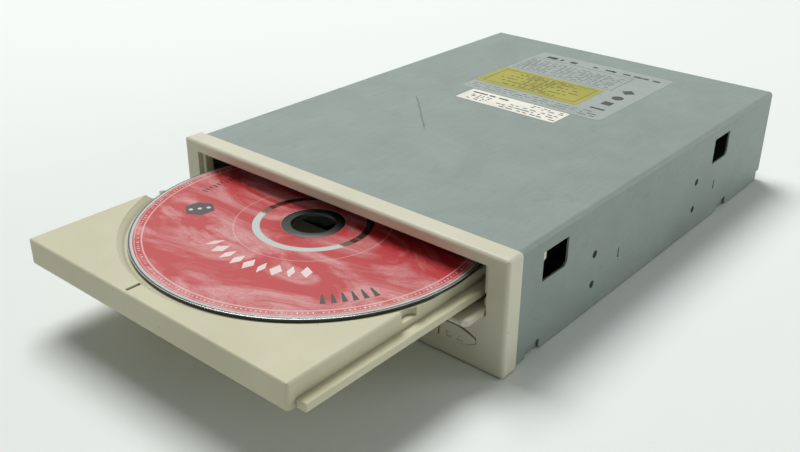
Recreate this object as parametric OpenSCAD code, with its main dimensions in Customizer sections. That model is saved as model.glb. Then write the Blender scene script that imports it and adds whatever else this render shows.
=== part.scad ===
// Half-height disc drive with a motor-driven loading tray, drawn with its tray part-way out.
// X runs to the right seen from the front, Y runs back, Z runs up.
// The origin is the middle of the four mounting holes in the underside.

/* [Case] */
// Width of the steel case
body_w = 146; // [145:0.05:146.1]
// Height of the steel case
body_h = 41.3; // [41:0.1:44]
// Depth of the steel case behind the bezel
body_d = 197; // [195:0.5:220]
// Thickness of the cover sheet
cover_t = 0.8; // [0.6:0.05:0.9]
// Thickness of the base sheet
base_t = 1; // [0.8:0.05:1.2]
// Outer bend radius of the cover
bend_r = 1.6; // [1.2:0.1:2.5]
// Height of the cover's lower edge over the underside
cover_lift = 0.35; // [0.1:0.05:0.8]
// Height of the base's side flanges
flange_h = 24; // [23:0.5:25]

/* [Mounting holes] */
// Distance from the bezel's back to the first row of holes
hole_setback = 47.4; // [45:0.1:50]
// Distance between the two rows of holes
hole_pitch = 79.25; // [78:0.05:80]
// Distance of the holes in the underside from the case's sides
base_hole_inset = 3.15; // [3:0.05:3.5]
// Height of the lower side holes
side_hole_z = 10; // [9.8:0.1:10.5]
// Height of the upper side holes over the lower ones
side_hole_rise = 11.84; // [11:0.02:12]
// Radius of a tapped mounting hole
mount_hole_r = 1.5; // [1.3:0.05:1.7]

/* [Bezel] */
// How far the bezel stands past the case at each side
bezel_lap = 1.4; // [1.1:0.1:1.7]
// Height of the bezel
bezel_h = 42; // [41.8:0.1:43]
// Depth of the bezel
bezel_d = 7.25; // [7:0.05:8]
// Thickness of the bezel's front wall
bezel_wall = 2.4; // [2.3:0.1:2.6]
// Rounding of the bezel's edges
bezel_r = 1.4; // [0.8:0.1:1.6]
// Width of the bezel at each side of the doorway
doorway_side = 7.5; // [7.3:0.05:7.6]
// Height of the doorway's sill
sill_z = 20.3; // [20:0.05:20.4]
// Height of the doorway's head
head_z = 37.9; // [37.6:0.1:38.6]
// Width of the ledge that the shut door meets at each side
door_stop_w = 1.9; // [1.6:0.1:2]

/* [Dust door] */
// Thickness of the door
door_t = 1.85; // [1.6:0.05:1.9]
// Distance from the hinge line to the door's inner face
door_ear = 2; // [1.9:0.05:2.1]
// Distance from the hinge line to the door's lower edge
door_heel = 3.5; // [3.2:0.1:3.55]
// Radius of a hinge pin
hinge_pin_r = 0.9; // [0.8:0.05:1]

/* [Tray] */
// Gap between a runner and the doorway's side
runner_gap = 3.5; // [3.4:0.05:3.7]
// Length of the tray
tray_len = 165; // [162:0.5:167]
// Distance of the tray's front ahead of the case, as drawn
tray_out = 82.1; // [60:0.1:100]
// Height of the deck
deck_z = 33; // [32.9:0.05:33.2]
// Height of the tray's front
tray_h = 8.5; // [8.3:0.1:8.7]
// Thickness of the tray's walls
tray_wall = 2; // [1.8:0.1:2.2]
// Width that each runner stands out from the deck
rail_w = 3.9; // [3.7:0.05:4]
// Height of each runner
rail_h = 2.7; // [2.5:0.1:2.8]
// Distance from the tray's front to its runners
rail_setback = 2.8; // [2:0.1:4]
// Distance from the tray's front to the disc's recess
recess_setback = 5.6; // [4:0.1:7]
// Gap round the disc at the recess's foot
recess_gap = 1; // [0.7:0.1:1.3]
// Width of the sloping edge of the recess
recess_slope = 2.2; // [1.8:0.1:2.6]
// Width of the slot for the spindle and the pickup
slot_w = 46; // [45:0.5:47]

/* [Disc] */
// How far the disc reaches past the deck at each side
disc_lap = 0.5; // [0.35:0.05:0.65]
// Thickness of the disc
disc_t = 1.2; // [1.1:0.05:1.3]
// Diameter of the disc's hole
disc_hole_d = 15; // [14.9:0.05:15.2]
// Distance of the disc's top under the deck
disc_drop = 0.6; // [0.5:0.05:0.8]

/* [Buttons and sockets] */
// Height of the button panel's middle line
panel_z = 9.9; // [9.6:0.1:10.2]
// Distance of the gap between the buttons from the bezel's right side
button_inset = 24.8; // [24.4:0.1:25.4]
// Gap between a button and the bezel
button_gap = 0.3; // [0.25:0.05:0.35]
// Travel of a button
button_travel = 0.8; // [0.5:0.1:0.9]
// Distance that a button stands out of the bezel
button_proud = 0.5; // [0.3:0.1:0.8]
// Radius of the headphone socket's bore
jack_r = 1.8; // [1.75:0.01:1.9]
// Distance of the headphone socket from the bezel's left side
jack_side = 16.4; // [14.4:0.5:18.4]
// Radius of the volume wheel
volume_r = 10; // [9.5:0.1:10.4]
// Distance of the volume wheel from the headphone socket
volume_side = 24; // [23:0.5:26]

/* [Loading gears] */
// Distance from the case's front to the loading gears
gear_setback = 17; // [16.5:0.1:17.5]
// Distance between the large pulley and the motor
motor_span = 36; // [35:0.5:37]
// Tooth size of the loading gears, pitch diameter over count
loader_module = 0.8; // [0.78:0.01:0.81]
// Teeth of the small loading gears
pinion_teeth = 16; // [16:1:17]
// Teeth of the large loading gear
wheel_teeth = 28; // [26:1:28]
// Radius of the belt's run on the large pulley
pulley_r = 13; // [12:0.1:13.4]
// Radius of the belt's run on the motor's pulley
motor_pulley_r = 3.25; // [3:0.05:3.6]

/* [Pickup unit] */
// Distance from the case's front to the spindle
spindle_setback = 72.2; // [71.8:0.1:73]
// Distance from the case's front to the unit's pivot
pivot_setback = 170.6; // [170:0.1:171.2]
// Distance from the case's front to the unit's frame
lift_setback = 50; // [49.5:0.1:50.5]
// Width of the unit's frame
lift_w = 76; // [75:0.5:77]
// Angle that the unit hangs down while the tray is out
drop_angle = 2.8; // [2.6:0.05:3]
// Distance from the disc's centre to the lens at the start
lens_start = 23; // [23:0.1:24]
// Travel of the pickup
pickup_travel = 35; // [33:0.5:35.5]
// Radius of the guide rods
rod_r = 1.5; // [1.4:0.05:1.6]
// Tooth size of the pickup's gears, pitch diameter over count
sled_module = 0.6; // [0.58:0.01:0.61]
// Travel of the lifting cam
cam_travel = 20; // [19:0.5:21]

/* [Hidden] */
$fn = 48;

// How far a cut runs past the solid that it is made in
over = 1;
// Gap between pieces that are fitted together
fit = 0.1;
// Gap beside pieces that slide
slide_gap = 0.3;
// Radial play of a pin in its bore
bore_play = 0.05;

// Case places
front_y = -hole_setback - hole_pitch / 2;
back_y = front_y + body_d;
row_y = [-hole_pitch / 2, hole_pitch / 2];
bezel_w = body_w + 2 * bezel_lap;
doorway_w = bezel_w - 2 * doorway_side;
tray_w = doorway_w - 2 * (runner_gap + rail_w);
disc_d = tray_w + 2 * disc_lap;
recess_r = disc_d / 2 + recess_gap;
recess_top_r = recess_r + recess_slope;
disc_setback = recess_top_r + recess_setback;
base_hole_span = body_w - 2 * base_hole_inset;
button_x = bezel_w / 2 - button_inset;
jack_x = bezel_w / 2 - jack_side;
volume_x = jack_x - volume_side;
cover_in_x = body_w / 2 - cover_t;
base_x = cover_in_x - fit;
inner_x = base_x - base_t - fit;
inner_top = body_h - cover_t;
inner_back = back_y - cover_t;

// Tray places
tray_y = front_y - tray_out;
tray_foot = deck_z - tray_h;
deck_t = 2;
ledge_z = deck_z - disc_drop - disc_t;
data_r = disc_d / 2 - 1.5 * recess_gap;
data_drop = 1;
small_disc_r = 40.5;
small_drop = 2.4;
floor_t = 1.6;
floor_edge = 0.8;
deck_edge_r = 0.8;
tray_corner_r = 1.2;
disc_y = tray_y + disc_setback;
rail_x = tray_w / 2 + rail_w;

// The tray brings the disc's middle over the spindle
spindle_y = front_y + spindle_setback;
shut_travel = spindle_y - disc_y;
pivot_y = front_y + pivot_setback;
lift_front_y = front_y + lift_setback;

// Bezel places
bezel_y = front_y - bezel_d;
wall_y = bezel_y + bezel_wall;
bezel_side_t = 1.9;
reveal_wall = 1.7;
door_gap = 0.2;
door_head_gap = 0.5;
door_swing_gap = 0.06;
door_w = doorway_w - 4 * door_gap;
door_h = head_z - sill_z - door_head_gap;
hinge_z = sill_z + door_gap + door_t + door_ear;
door_swing_r = hinge_z - sill_z - door_swing_gap;
hinge_y = bezel_y + door_t + door_ear;
reveal_past = 1.4;
reveal_trim = 0.2;
head_lip = 1;
reveal_y = hinge_y + reveal_past;

// Runner channel places
channel_x = rail_x + slide_gap + fit;
channel_wall = 2;
lip_x = tray_w / 2 + floor_edge;
lip_t = 1.5;
lower_lip_z = tray_foot - slide_gap;
upper_lip_z = tray_foot + rail_h + slide_gap;
frame_floor_t = 2;
frame_floor_z = 13;
frame_setback = 2.2;
frame_past = 1.4;
well_side_gap = 4;
well_front_gap = 5.5;
well_back_gap = 2.1;
frame_front_y = front_y + frame_setback;
frame_back_y = pivot_y + frame_past;
well_x = lift_w / 2 + well_side_gap;
well_front_y = lift_front_y - well_front_gap;
well_back_y = pivot_y - well_back_gap;

// Loading gears: pitch radii, centres and levels
pinion_r = pinion_teeth * loader_module / 2;
wheel_r = wheel_teeth * loader_module / 2;
pressure_angle = 20;
tip_share = 0.9;
root_share = 1.2;
flank_steps = 4;
hub_share = 1.6;
tooth_play = 0.14;
rack_depth = 2.1;
rack_line_x = -tray_w / 2 + tray_wall + rack_depth;
tray_gear_x = rack_line_x + pinion_r;
gear_y = front_y + gear_setback;
pulley_gear_x = tray_gear_x + wheel_r + pinion_r;
motor_x = pulley_gear_x + motor_span;
gear_t = 2.8;
gear_spindle_r = 1.5;
rack_z = tray_foot + slide_gap;
rack_h = 3.4;
pinion_rise = 0.5;
pinion_z = tray_foot + pinion_rise;
wheel_z = lower_lip_z - lip_t - slide_gap - gear_t;
pulley_t = 2.4;
pulley_flange = 1.2;
pulley_flange_t = 0.5;
pulley_drop = 0.4;
pulley_z = wheel_z - pulley_t - 2 * pulley_flange_t - pulley_drop;
belt_t = 1.2;
belt_h = 1.4;
motor_r = 11;
motor_h = 9.8;
motor_shaft_r = 1;

// Pickup unit places, level as with a disc in play
pivot_z = 18;
pivot_r = 1.6;
lift_z = 16.8;
lift_t = 2.4;
lift_rim = 7;
lift_corner_r = 3;
lift_back_gap = 5.1;
lift_back_y = pivot_y - lift_back_gap;
damper_h = 1.6;
damper_r = 3.4;
plate_z = lift_z + lift_t + damper_h;
plate_t = 1.2;
plate_side = 2;
plate_lead = 4;
plate_back_gap = 6.6;
plate_w = lift_w - 2 * plate_side;
plate_front_y = lift_front_y + plate_lead;
plate_back_y = pivot_y - plate_back_gap;
spindle_r = 1;
spindle_can_r = 13;
spindle_can_h = 5;
spindle_can_z = plate_z + plate_t;
platform_t = 2;
platform_r = 14.5;
platform_rise = 1.7;
platform_z = ledge_z + platform_rise;
cone_play = 0.2;
cone_r = disc_hole_d / 2 - cone_play;
cone_h = 2.2;
cone_top_r = 5.4;
lens_y = spindle_y + lens_start;
lens_r = 2.2;
lens_drop = 1.6;
lens_z = platform_z - lens_drop;
rod_side = 16;
rod_x = lift_w / 2 - rod_side;
rod_z = 14.6;
rod_clip = 5;
rod_clip_gap = 1.5;
sled_ahead = 8;
sled_behind = 18;
rod_front_y = spindle_y + lens_start - sled_ahead - rod_clip - rod_clip_gap;
rod_back_y = spindle_y + lens_start + pickup_travel + sled_behind + rod_clip + rod_clip_gap;
sled_side = 6;
sled_w = 2 * (rod_x - sled_side);
sled_ear_h = 6;
sled_ear_w = 2.8;
sled_ear_len = 10;
sled_rack_z = plate_z + plate_t + slide_gap;
sled_gear_t = 1.2;
sled_line_side = 1.4;
sled_line_x = rod_x - sled_line_side;
sled_gear_teeth = 24;
sled_pinion_teeth = 16;
sled_gear_r = sled_gear_teeth * sled_module / 2;
sled_pinion_r = sled_pinion_teeth * sled_module / 2;
sled_gear_x = sled_line_x + sled_gear_r;
sled_gear_back = 5;
sled_gear_y = spindle_y + lens_start + pickup_travel / 2 + sled_gear_back;
sled_motor_r = 5;
sled_pinion_x = rod_x + sled_ear_w + 2 * slide_gap + sled_motor_r;
sled_pinion_y = sled_gear_y
    + sqrt(pow(sled_gear_r + sled_pinion_r, 2) - pow(sled_pinion_x - sled_gear_x, 2));
sled_pinion_turn = atan2(sled_pinion_y - sled_gear_y, sled_pinion_x - sled_gear_x);
sled_motor_h = 8;
tooth_play_small = 0.12;

// Cam: the pin on the pickup unit rides in the slider's sloping slot
cam_pin_r = 1.5;
cam_pin_z = 18;
cam_pin_len = 4.4;
cam_plate_t = 2.4;
cam_gap = 1.2;
cam_y = lift_front_y - cam_gap - cam_plate_t;
cam_reach = pivot_y - cam_y - cam_plate_t / 2;
cam_rise = cam_reach * sin(drop_angle);
cam_slot_play = 0.22;
cam_foot_drop = 6;
cam_foot_z = frame_floor_z - cam_foot_drop;
cam_edge = 4;
cam_top_z = cam_pin_z + cam_edge;
cam_margin = 6;

// Clamp
bridge_gap = 2.5;
bridge_z = deck_z + bridge_gap;
bridge_t = 0.9;
bridge_d = 34;
clamp_neck_r = 11.6;
clamp_hole_r = 12.2;
clamp_flange_r = 14.6;
clamp_gap = 0.9;
clamp_pad_z = deck_z + clamp_gap;

// Boards and rear connectors
board_t = 1.6;
main_board_z = 4;
main_board_side = 7;
main_board_setback = 34;
main_board_w = 2 * (inner_x - main_board_side);
main_board_y = front_y + main_board_setback;
front_board_z = 3.2;
connector_back = 0.2;
data_w = 58;
power_w = 24;
audio_w = 12.6;
rear_gap = 1;
// Shares of the way from the middle to the base's side
data_x = 0.056 * inner_x;
power_x = -0.676 * inner_x;
audio_x = 0.8 * inner_x;
jumper_x = (data_x + data_w / 2 + audio_x - audio_w / 2) / 2;

// Flat outlines and ways to place them

// A flat outline, drawn as across and up, runs back from y
module along_y(y, len) {
    translate([0, y + len, 0])
        rotate([90, 0, 0])
            linear_extrude(len) children();
}

// A flat outline, drawn as back and up, runs right from x
module along_x(x, len) {
    translate([x, 0, 0])
        rotate([90, 0, 90])
            linear_extrude(len) children();
}

// A flat outline, drawn as across and back, rises from z
module rise(z, h) {
    translate([0, 0, z])
        linear_extrude(h) children();
}

// A block given by its limits along each axis
module block(x, y, z) {
    translate([x[0], y[0], z[0]])
        cube([x[1] - x[0], y[1] - y[0], z[1] - z[0]]);
}

// A rectangle given by its limits, with round corners
module round_rect(x, y, r) {
    translate([x[0] + r, y[0]])
        square([x[1] - x[0] - 2 * r, y[1] - y[0]]);
    translate([x[0], y[0] + r])
        square([x[1] - x[0], y[1] - y[0] - 2 * r]);
    for (u = [x[0] + r, x[1] - r], v = [y[0] + r, y[1] - r])
        translate([u, v]) circle(r);
}

module both_sides() {
    children();
    mirror([1, 0, 0]) children();
}

// A hole or pin along each axis
module rod_x(at, len, r) {
    translate(at) rotate([0, 90, 0]) cylinder(h = len, r = r);
}

module rod_y(at, len, r) {
    translate(at) rotate([-90, 0, 0]) cylinder(h = len, r = r);
}

module rod_z(at, len, r) {
    translate(at) cylinder(h = len, r = r);
}

// Gear and rack outlines with involute flanks

function polar(r, a) = [r * cos(a), r * sin(a)];
function involute(a) = tan(a) * 180 / PI - a;
function tooth_half(r, n, m, play) =
    let (pitch = n * m / 2, base = pitch * cos(pressure_angle))
    90 / n - play / pitch * 90 / PI + involute(pressure_angle)
    - (r > base ? involute(acos(base / r)) : 0);

function gear_points(n, m, play) =
    let (
        pitch = n * m / 2,
        root = pitch - root_share * m,
        tip = pitch + tip_share * m,
        base = max(root, pitch * cos(pressure_angle)),
        radii = [root, for (k = [0:flank_steps]) base + (tip - base) * k / flank_steps],
        last = flank_steps + 1
    )
    [for (i = [0:n - 1]) each concat(
        [for (k = [0:last]) polar(radii[k], i * 360 / n - tooth_half(radii[k], n, m, play))],
        [for (k = [last:-1:0]) polar(radii[k], i * 360 / n + tooth_half(radii[k], n, m, play))]
    )];

module gear(n, m, play, t) {
    linear_extrude(t) polygon(gear_points(n, m, play));
}

// Rack teeth point along +X, with a gap at the middle, on a back that is given
function rack_points(count, m, play, back) =
    let (
        pitch = PI * m,
        half = pitch / 4 - play / 2,
        slope = tan(pressure_angle),
        tip = tip_share * m,
        root = root_share * m,
        start = -(count - 1) / 2
    )
    concat(
        [for (i = [0:count - 1]) let (c = (start + i) * pitch) each [
            [-root, c - half - root * slope], [tip, c - half + tip * slope],
            [tip, c + half - tip * slope], [-root, c + half + root * slope]
        ]],
        [
            [-root, (count / 2) * pitch], [-back, (count / 2) * pitch], [-back, -(count / 2) * pitch],
            [-root, -(count / 2) * pitch]
        ]
    );

// Case

window_z = [25.4, 36];
window_lip_y = [14.1, 139.6];
window_len = [14.8, 14.1];
window_cut = 1.6;
foot_notch_y = [6.9, 151.4];
foot_notch_len = [8.4, 9.4];
foot_notch_z = 4;
moon_y = [65.4, 145.3];
moon_z = [15.4, 14.9];
moon_r = 2;
moon_depth = 0.35;
rear_step_z = 4.6;
rear_step = 2.6;
rear_opening_x = [power_x - power_w / 2 - rear_gap, audio_x + audio_w / 2 + rear_gap];
rear_opening_z = 15.4;
front_nick = [1.4, 0.9];
nick_side = 5;
nick_x = body_w / 2 - nick_side;

// The cover's section, one sheet bent over the top and both sides
module cover_section() {
    difference() {
        cover_arch(body_w, body_h, bend_r);
        cover_arch(body_w - 2 * cover_t, body_h - cover_t, bend_r - cover_t);
    }
}

module cover_arch(w, h, r) {
    translate([-w / 2, cover_lift]) square([w, h - cover_lift - r]);
    translate([-w / 2 + r, cover_lift]) square([w - 2 * r, h - cover_lift]);
    for (s = [-1, 1])
        translate([s * (w / 2 - r), h - r]) circle(r);
}

// Lightening windows, one corner cut back
module window_outline(y, len) {
    polygon([
        [y, window_z[0]], [y + len - window_cut, window_z[0]], [y + len, window_z[0] + window_cut],
        [y + len, window_z[1]], [y, window_z[1]]
    ]);
}

module side_hole_cuts(x) {
    for (y = row_y, z = [side_hole_z, side_hole_z + side_hole_rise])
        rod_x([-x, y, z], 2 * x, mount_hole_r);
}

module top_cover() {
    color([0.56, 0.6, 0.6])
    difference() {
        union() {
            along_y(front_y, body_d) cover_section();
            along_y(inner_back, cover_t)
                translate([-cover_in_x, rear_step_z])
                    square([2 * cover_in_x, inner_top + cover_t / 2 - rear_step_z]);
        }
        along_x(-body_w / 2 - over, body_w + 2 * over) {
            for (i = [0, 1]) {
                window_outline(front_y + window_lip_y[i], window_len[i]);
                translate([front_y + foot_notch_y[i], cover_lift - over])
                    square([foot_notch_len[i], foot_notch_z - cover_lift + over]);
            }
            translate([back_y - rear_step, cover_lift - over])
                square([rear_step + over, rear_step_z - cover_lift + over]);
        }
        side_hole_cuts(body_w / 2 + over);
        both_sides()
            for (i = [0, 1])
                intersection() {
                    rod_x([body_w / 2 - moon_depth, front_y + moon_y[i], moon_z[i]], over, moon_r);
                    block([0, body_w], [front_y, front_y + moon_y[i]], [0, body_h]);
                }
        both_sides()
            block([nick_x, nick_x + front_nick[0]], [front_y - over, front_y + front_nick[1]],
                [inner_top - over, body_h + over]);
        block(rear_opening_x, [inner_back - over, back_y + over], [rear_step_z - over, rear_opening_z]);
    }
}

// Base: a tray of sheet with side flanges behind the cover's sides

base_front_gap = 0.3;
base_front_y = front_y + base_front_gap;
base_setback = 3.1;
base_back_y = back_y - base_setback;
base_corner_r = 2.2;
flange_gap_len = 10;
flange_gap_z = 7.4;
bead_r = 1.8;
bead_depth = 0.4;
bead_x = [-34, 34];
bead_y = [60, 140];
post_side = 5.8;
post_x = channel_x - post_side;
post_y = [16, 176];
sunk_r = 3.1;
sunk_depth = 0.8;
base_bend_r = 1;

module base_section() {
    difference() {
        base_channel(base_x, 0, base_bend_r);
        translate([-base_x + base_t, base_t])
            square([2 * (base_x - base_t), flange_h]);
    }
}

// Bosses raised from the base carry both boards, with pegs through the front one
boss_r = 2.6;
main_boss_side = 14;
main_boss_x = main_board_w / 2 - main_boss_side;
main_boss_at = [[-1, 44], [1, 44], [-1, 150], [1, 136]];
front_board_side = 8.4;
front_board_w = bezel_w - 2 * front_board_side;
front_peg_side = 4;
front_peg_x = front_board_w / 2 - front_peg_side;
front_peg_y = 3;

module board_bosses() {
    for (at = main_boss_at)
        rod_z([at[0] * main_boss_x, front_y + at[1], base_t / 2], main_board_z - base_t / 2, boss_r);
    for (x = [-front_peg_x, front_peg_x]) {
        rod_z([x, front_y + front_peg_y, base_t / 2], front_board_z - base_t / 2, boss_r);
        rod_z([x, front_y + front_peg_y, base_t / 2], front_board_z + board_t - base_t / 2,
            mount_hole_r - fit);
    }
}

module base_channel(x, z, r) {
    translate([-x, z + r]) square([2 * x, flange_h - z - r]);
    translate([-x + r, z]) square([2 * (x - r), flange_h - z]);
    for (s = [-1, 1])
        translate([s * (x - r), z + r]) circle(r);
}

module bottom_cover() {
    color([0.6, 0.63, 0.62])
    difference() {
        union() {
            along_y(base_front_y, base_back_y - base_front_y) base_section();
            board_bosses();
        }
        side_hole_cuts(body_w / 2 + over);
        // the flanges stop short over the holes in the underside
        both_sides()
            for (y = row_y)
                block([base_x - base_t - over, base_x + over],
                    [y - flange_gap_len / 2, y + flange_gap_len / 2], [base_t, flange_gap_z]);
        for (x = [-base_hole_span / 2, base_hole_span / 2], y = row_y)
            rod_z([x, y, -over], base_t + 2 * over, mount_hole_r);
        // countersinks for the screws into the loader's posts
        for (x = [-post_x, post_x], y = post_y) {
            translate([x, front_y + y, -base_t / 100])
                cylinder(h = base_t - fit, r1 = sunk_r, r2 = sunk_r - base_t + fit);
            rod_z([x, front_y + y, -over], base_t + 2 * over, mount_hole_r + 2 * fit);
        }
        // long grooves pressed into the underside stiffen it
        rise(-over, over + bead_depth)
            for (x = bead_x) {
                for (y = bead_y)
                    translate([x, front_y + y]) circle(bead_r);
                translate([x - bead_r, front_y + bead_y[0]])
                    square([2 * bead_r, bead_y[1] - bead_y[0]]);
            }
        // the flanges' lower rear corners are rounded
        along_x(-body_w / 2, body_w)
            difference() {
                translate([base_back_y - base_corner_r, -over])
                    square([base_corner_r + over, base_corner_r + over]);
                translate([base_back_y - base_corner_r, base_corner_r])
                    circle(base_corner_r);
            }
    }
}

// Bezel

tongue_z = [32.6, 35.6];
tongue_t = 1.3;
tongue_len = 16.9;
barb_len = 3;
barb_rise = 0.7;
pocket_room = 0.9;
pocket_z = hinge_z + door_ear + pocket_room;
slot_half = sqrt(pow(volume_r + button_gap, 2) - pow(volume_r - button_proud - bezel_wall, 2));
volume_t = 2.4;
volume_drop = 0.2;
volume_z = panel_z - volume_drop;
volume_y = bezel_y - button_proud + volume_r;
indicator_side = 25.6;
indicator_x = button_x - indicator_side;
indicator_w = 3.6;
indicator_h = 1.9;
release_side = 39.6;
release_x = button_x - release_side;
release_r = 0.75;
jack_z = 8.8;
jack_collar_r = 3.1;

// Leaf outline of the eject button: two broad arcs that meet at a blunt tip
leaf_len = 14.3;
leaf_low_r = 20;
leaf_top_r = 17.6;
leaf_tip_r = 7.2;
leaf_tip_rise = 0.3;
leaf_half_h = 3.2;
leaf_low = panel_z - leaf_half_h;
leaf_top = panel_z + leaf_half_h;
leaf_low_share = 0.3;
leaf_top_share = 0.38;

module leaf(grow) {
    intersection() {
        translate([button_x + leaf_len * leaf_low_share, leaf_low + leaf_low_r])
            circle(leaf_low_r + grow, $fn = 96);
        translate([button_x + leaf_len * leaf_top_share, leaf_top - leaf_top_r])
            circle(leaf_top_r + grow, $fn = 96);
        translate([button_x + leaf_len - leaf_tip_r, panel_z + leaf_tip_rise])
            circle(leaf_tip_r + grow);
        translate([button_x + max(button_gap - grow, -button_gap / 2), 0])
            square([leaf_len, body_h / 2]);
    }
}

module leaf_pair_hole() {
    leaf(button_gap);
    translate([2 * button_x, 0]) mirror([1, 0]) leaf(button_gap);
}

// The flange behind a button, which keeps it from falling out of the bezel
module leaf_flange() {
    intersection() {
        leaf(button_flange);
        translate([button_x + button_gap, 0]) square([2 * leaf_len, body_h / 2]);
    }
}

module bezel_shell() {
    intersection() {
        along_y(bezel_y, bezel_d)
            round_rect([-bezel_w / 2, bezel_w / 2], [0, bezel_h], bezel_r);
        rise(-over, bezel_h + 2 * over)
            round_rect([-bezel_w / 2, bezel_w / 2], [bezel_y, front_y + 2 * bezel_r], bezel_r);
        along_x(-bezel_w / 2 - over, bezel_w + 2 * over)
            round_rect([bezel_y, front_y + 2 * bezel_r], [0, bezel_h], bezel_r);
    }
}

module front_bezel() {
    color([0.86, 0.84, 0.74])
    difference() {
        union() {
            difference() {
                bezel_shell();
                block([-bezel_w / 2 + bezel_side_t, bezel_w / 2 - bezel_side_t],
                    [wall_y, front_y + over], [bezel_side_t, bezel_h - bezel_side_t]);
            }
            // the reveal, a frame that runs back round the doorway
            along_y(wall_y - fit, reveal_y - wall_y + fit)
                difference() {
                    translate([-doorway_w / 2 - reveal_wall, sill_z - reveal_wall])
                        square([doorway_w + 2 * reveal_wall,
                            head_z - sill_z + 2 * reveal_wall - reveal_trim]);
                    translate([-doorway_w / 2 + door_stop_w, sill_z])
                        square([doorway_w - 2 * door_stop_w, head_z - sill_z - head_lip]);
                }
            // spring tongues that snap into the windows of the case
            both_sides() {
                block([cover_in_x - fit - tongue_t, cover_in_x - fit],
                    [wall_y - fit, front_y + tongue_len], tongue_z);
                rise(tongue_z[0], tongue_z[1] - tongue_z[0])
                    polygon([
                        [cover_in_x - 2 * fit, front_y + tongue_len - barb_len],
                        [cover_in_x + barb_rise, front_y + tongue_len - barb_len],
                        [cover_in_x - 2 * fit, front_y + tongue_len]
                    ]);
            }
        }
        // the shut door's seat
        block([-doorway_w / 2, doorway_w / 2], [bezel_y - over, bezel_y + door_t], [sill_z, head_z]);
        block([-doorway_w / 2 + door_stop_w, doorway_w / 2 - door_stop_w],
            [bezel_y - over, front_y], [sill_z, head_z - head_lip]);
        // pockets for the door's ears, and the bores that carry its pins
        both_sides() {
            block([doorway_w / 2 - door_stop_w - over, doorway_w / 2],
                [bezel_y - over, front_y], [sill_z, pocket_z]);
            rod_x([doorway_w / 2 - over, hinge_y, hinge_z], reveal_wall + 2 * over,
                hinge_pin_r + bore_play);
        }
        along_y(bezel_y - over, bezel_wall + 2 * over) {
            leaf_pair_hole();
            translate([-volume_x - slot_half, volume_z - volume_t / 2 - button_gap])
                square([2 * slot_half, volume_t + 2 * button_gap]);
            translate([-jack_x, jack_z]) circle(jack_collar_r + fit);
            translate([indicator_x - indicator_w / 2 - fit, panel_z - indicator_h / 2 - fit])
                square([indicator_w + 2 * fit, indicator_h + 2 * fit]);
            translate([release_x, panel_z]) circle(release_r);
        }
    }
}

// Dust door, drawn hanging open, folded out under the tray

door_nose_r = 0.8;
ear_t = 1.5;
ear_r = 1.9;
door_corner = 1.6;

// Section as it lies open: forward is to the left, and the inner face is on top
module door_section() {
    plate_top = hinge_z - door_ear;
    tip_y = hinge_y + door_heel - door_h;
    intersection() {
        round_rect([tip_y, hinge_y + door_heel], [plate_top - door_t, plate_top], door_nose_r);
        // the heel is turned about the hinge line, so that it clears the sill as it swings
        union() {
            translate([hinge_y, hinge_z]) circle(door_swing_r);
            translate([tip_y - over, sill_z - over]) square([hinge_y - tip_y + over, 2 * door_heel]);
        }
    }
}

module dust_door() {
    tip_y = hinge_y + door_heel - door_h;
    color([0.85, 0.83, 0.73])
    union() {
        intersection() {
            along_x(-door_w / 2, door_w) door_section();
            rise(sill_z - over, tray_h)
                polygon([
                    [-door_w / 2, hinge_y + door_heel], [door_w / 2, hinge_y + door_heel],
                    [door_w / 2, tip_y + door_corner], [door_w / 2 - door_corner, tip_y],
                    [-door_w / 2 + door_corner, tip_y], [-door_w / 2, tip_y + door_corner]
                ]);
        }
        both_sides() {
            along_x(door_w / 2 - ear_t, ear_t) {
                translate([hinge_y, hinge_z]) circle(ear_r);
                translate([hinge_y - ear_r, hinge_z - door_ear - door_t / 2])
                    square([2 * ear_r, door_ear + door_t / 2]);
            }
            rod_x([door_w / 2 - ear_t / 2, hinge_y, hinge_z],
                ear_t / 2 + 2 * door_gap + reveal_wall - fit, hinge_pin_r);
        }
    }
}

// Tray

deck_nick = [1.2, 5, 0.7];
deck_nick_at = [-9.5, 1.3];
scoop_r = 7;
scoop_side = 1;
scoop_x = tray_w / 2 + scoop_side;

// The body of the tray before anything is taken out of it
module tray_block() {
    end_y = tray_y + tray_len;
    intersection() {
        along_y(tray_y, tray_len)
            round_rect([-tray_w / 2, tray_w / 2], [tray_foot - tray_h, deck_z], deck_edge_r);
        along_x(-tray_w, 2 * tray_w)
            round_rect([tray_y, end_y + tray_h], [tray_foot - tray_h, deck_z], deck_edge_r);
        rise(tray_foot, tray_h + over)
            round_rect([-tray_w / 2, tray_w / 2], [tray_y, end_y], tray_corner_r);
    }
}

// The hollow underside, kept clear of the floors under the disc
module tray_hollow() {
    end_y = tray_y + tray_len;
    difference() {
        block([-tray_w / 2 + tray_wall, tray_w / 2 - tray_wall],
            [tray_y + tray_wall, end_y - tray_wall], [tray_foot - over, deck_z - deck_t]);
        rod_z([0, disc_y, ledge_z - data_drop - floor_t], tray_h, recess_top_r + floor_edge);
        rod_z([0, disc_y, ledge_z - small_drop - floor_t], tray_h, small_disc_r + floor_edge);
    }
}

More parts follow.
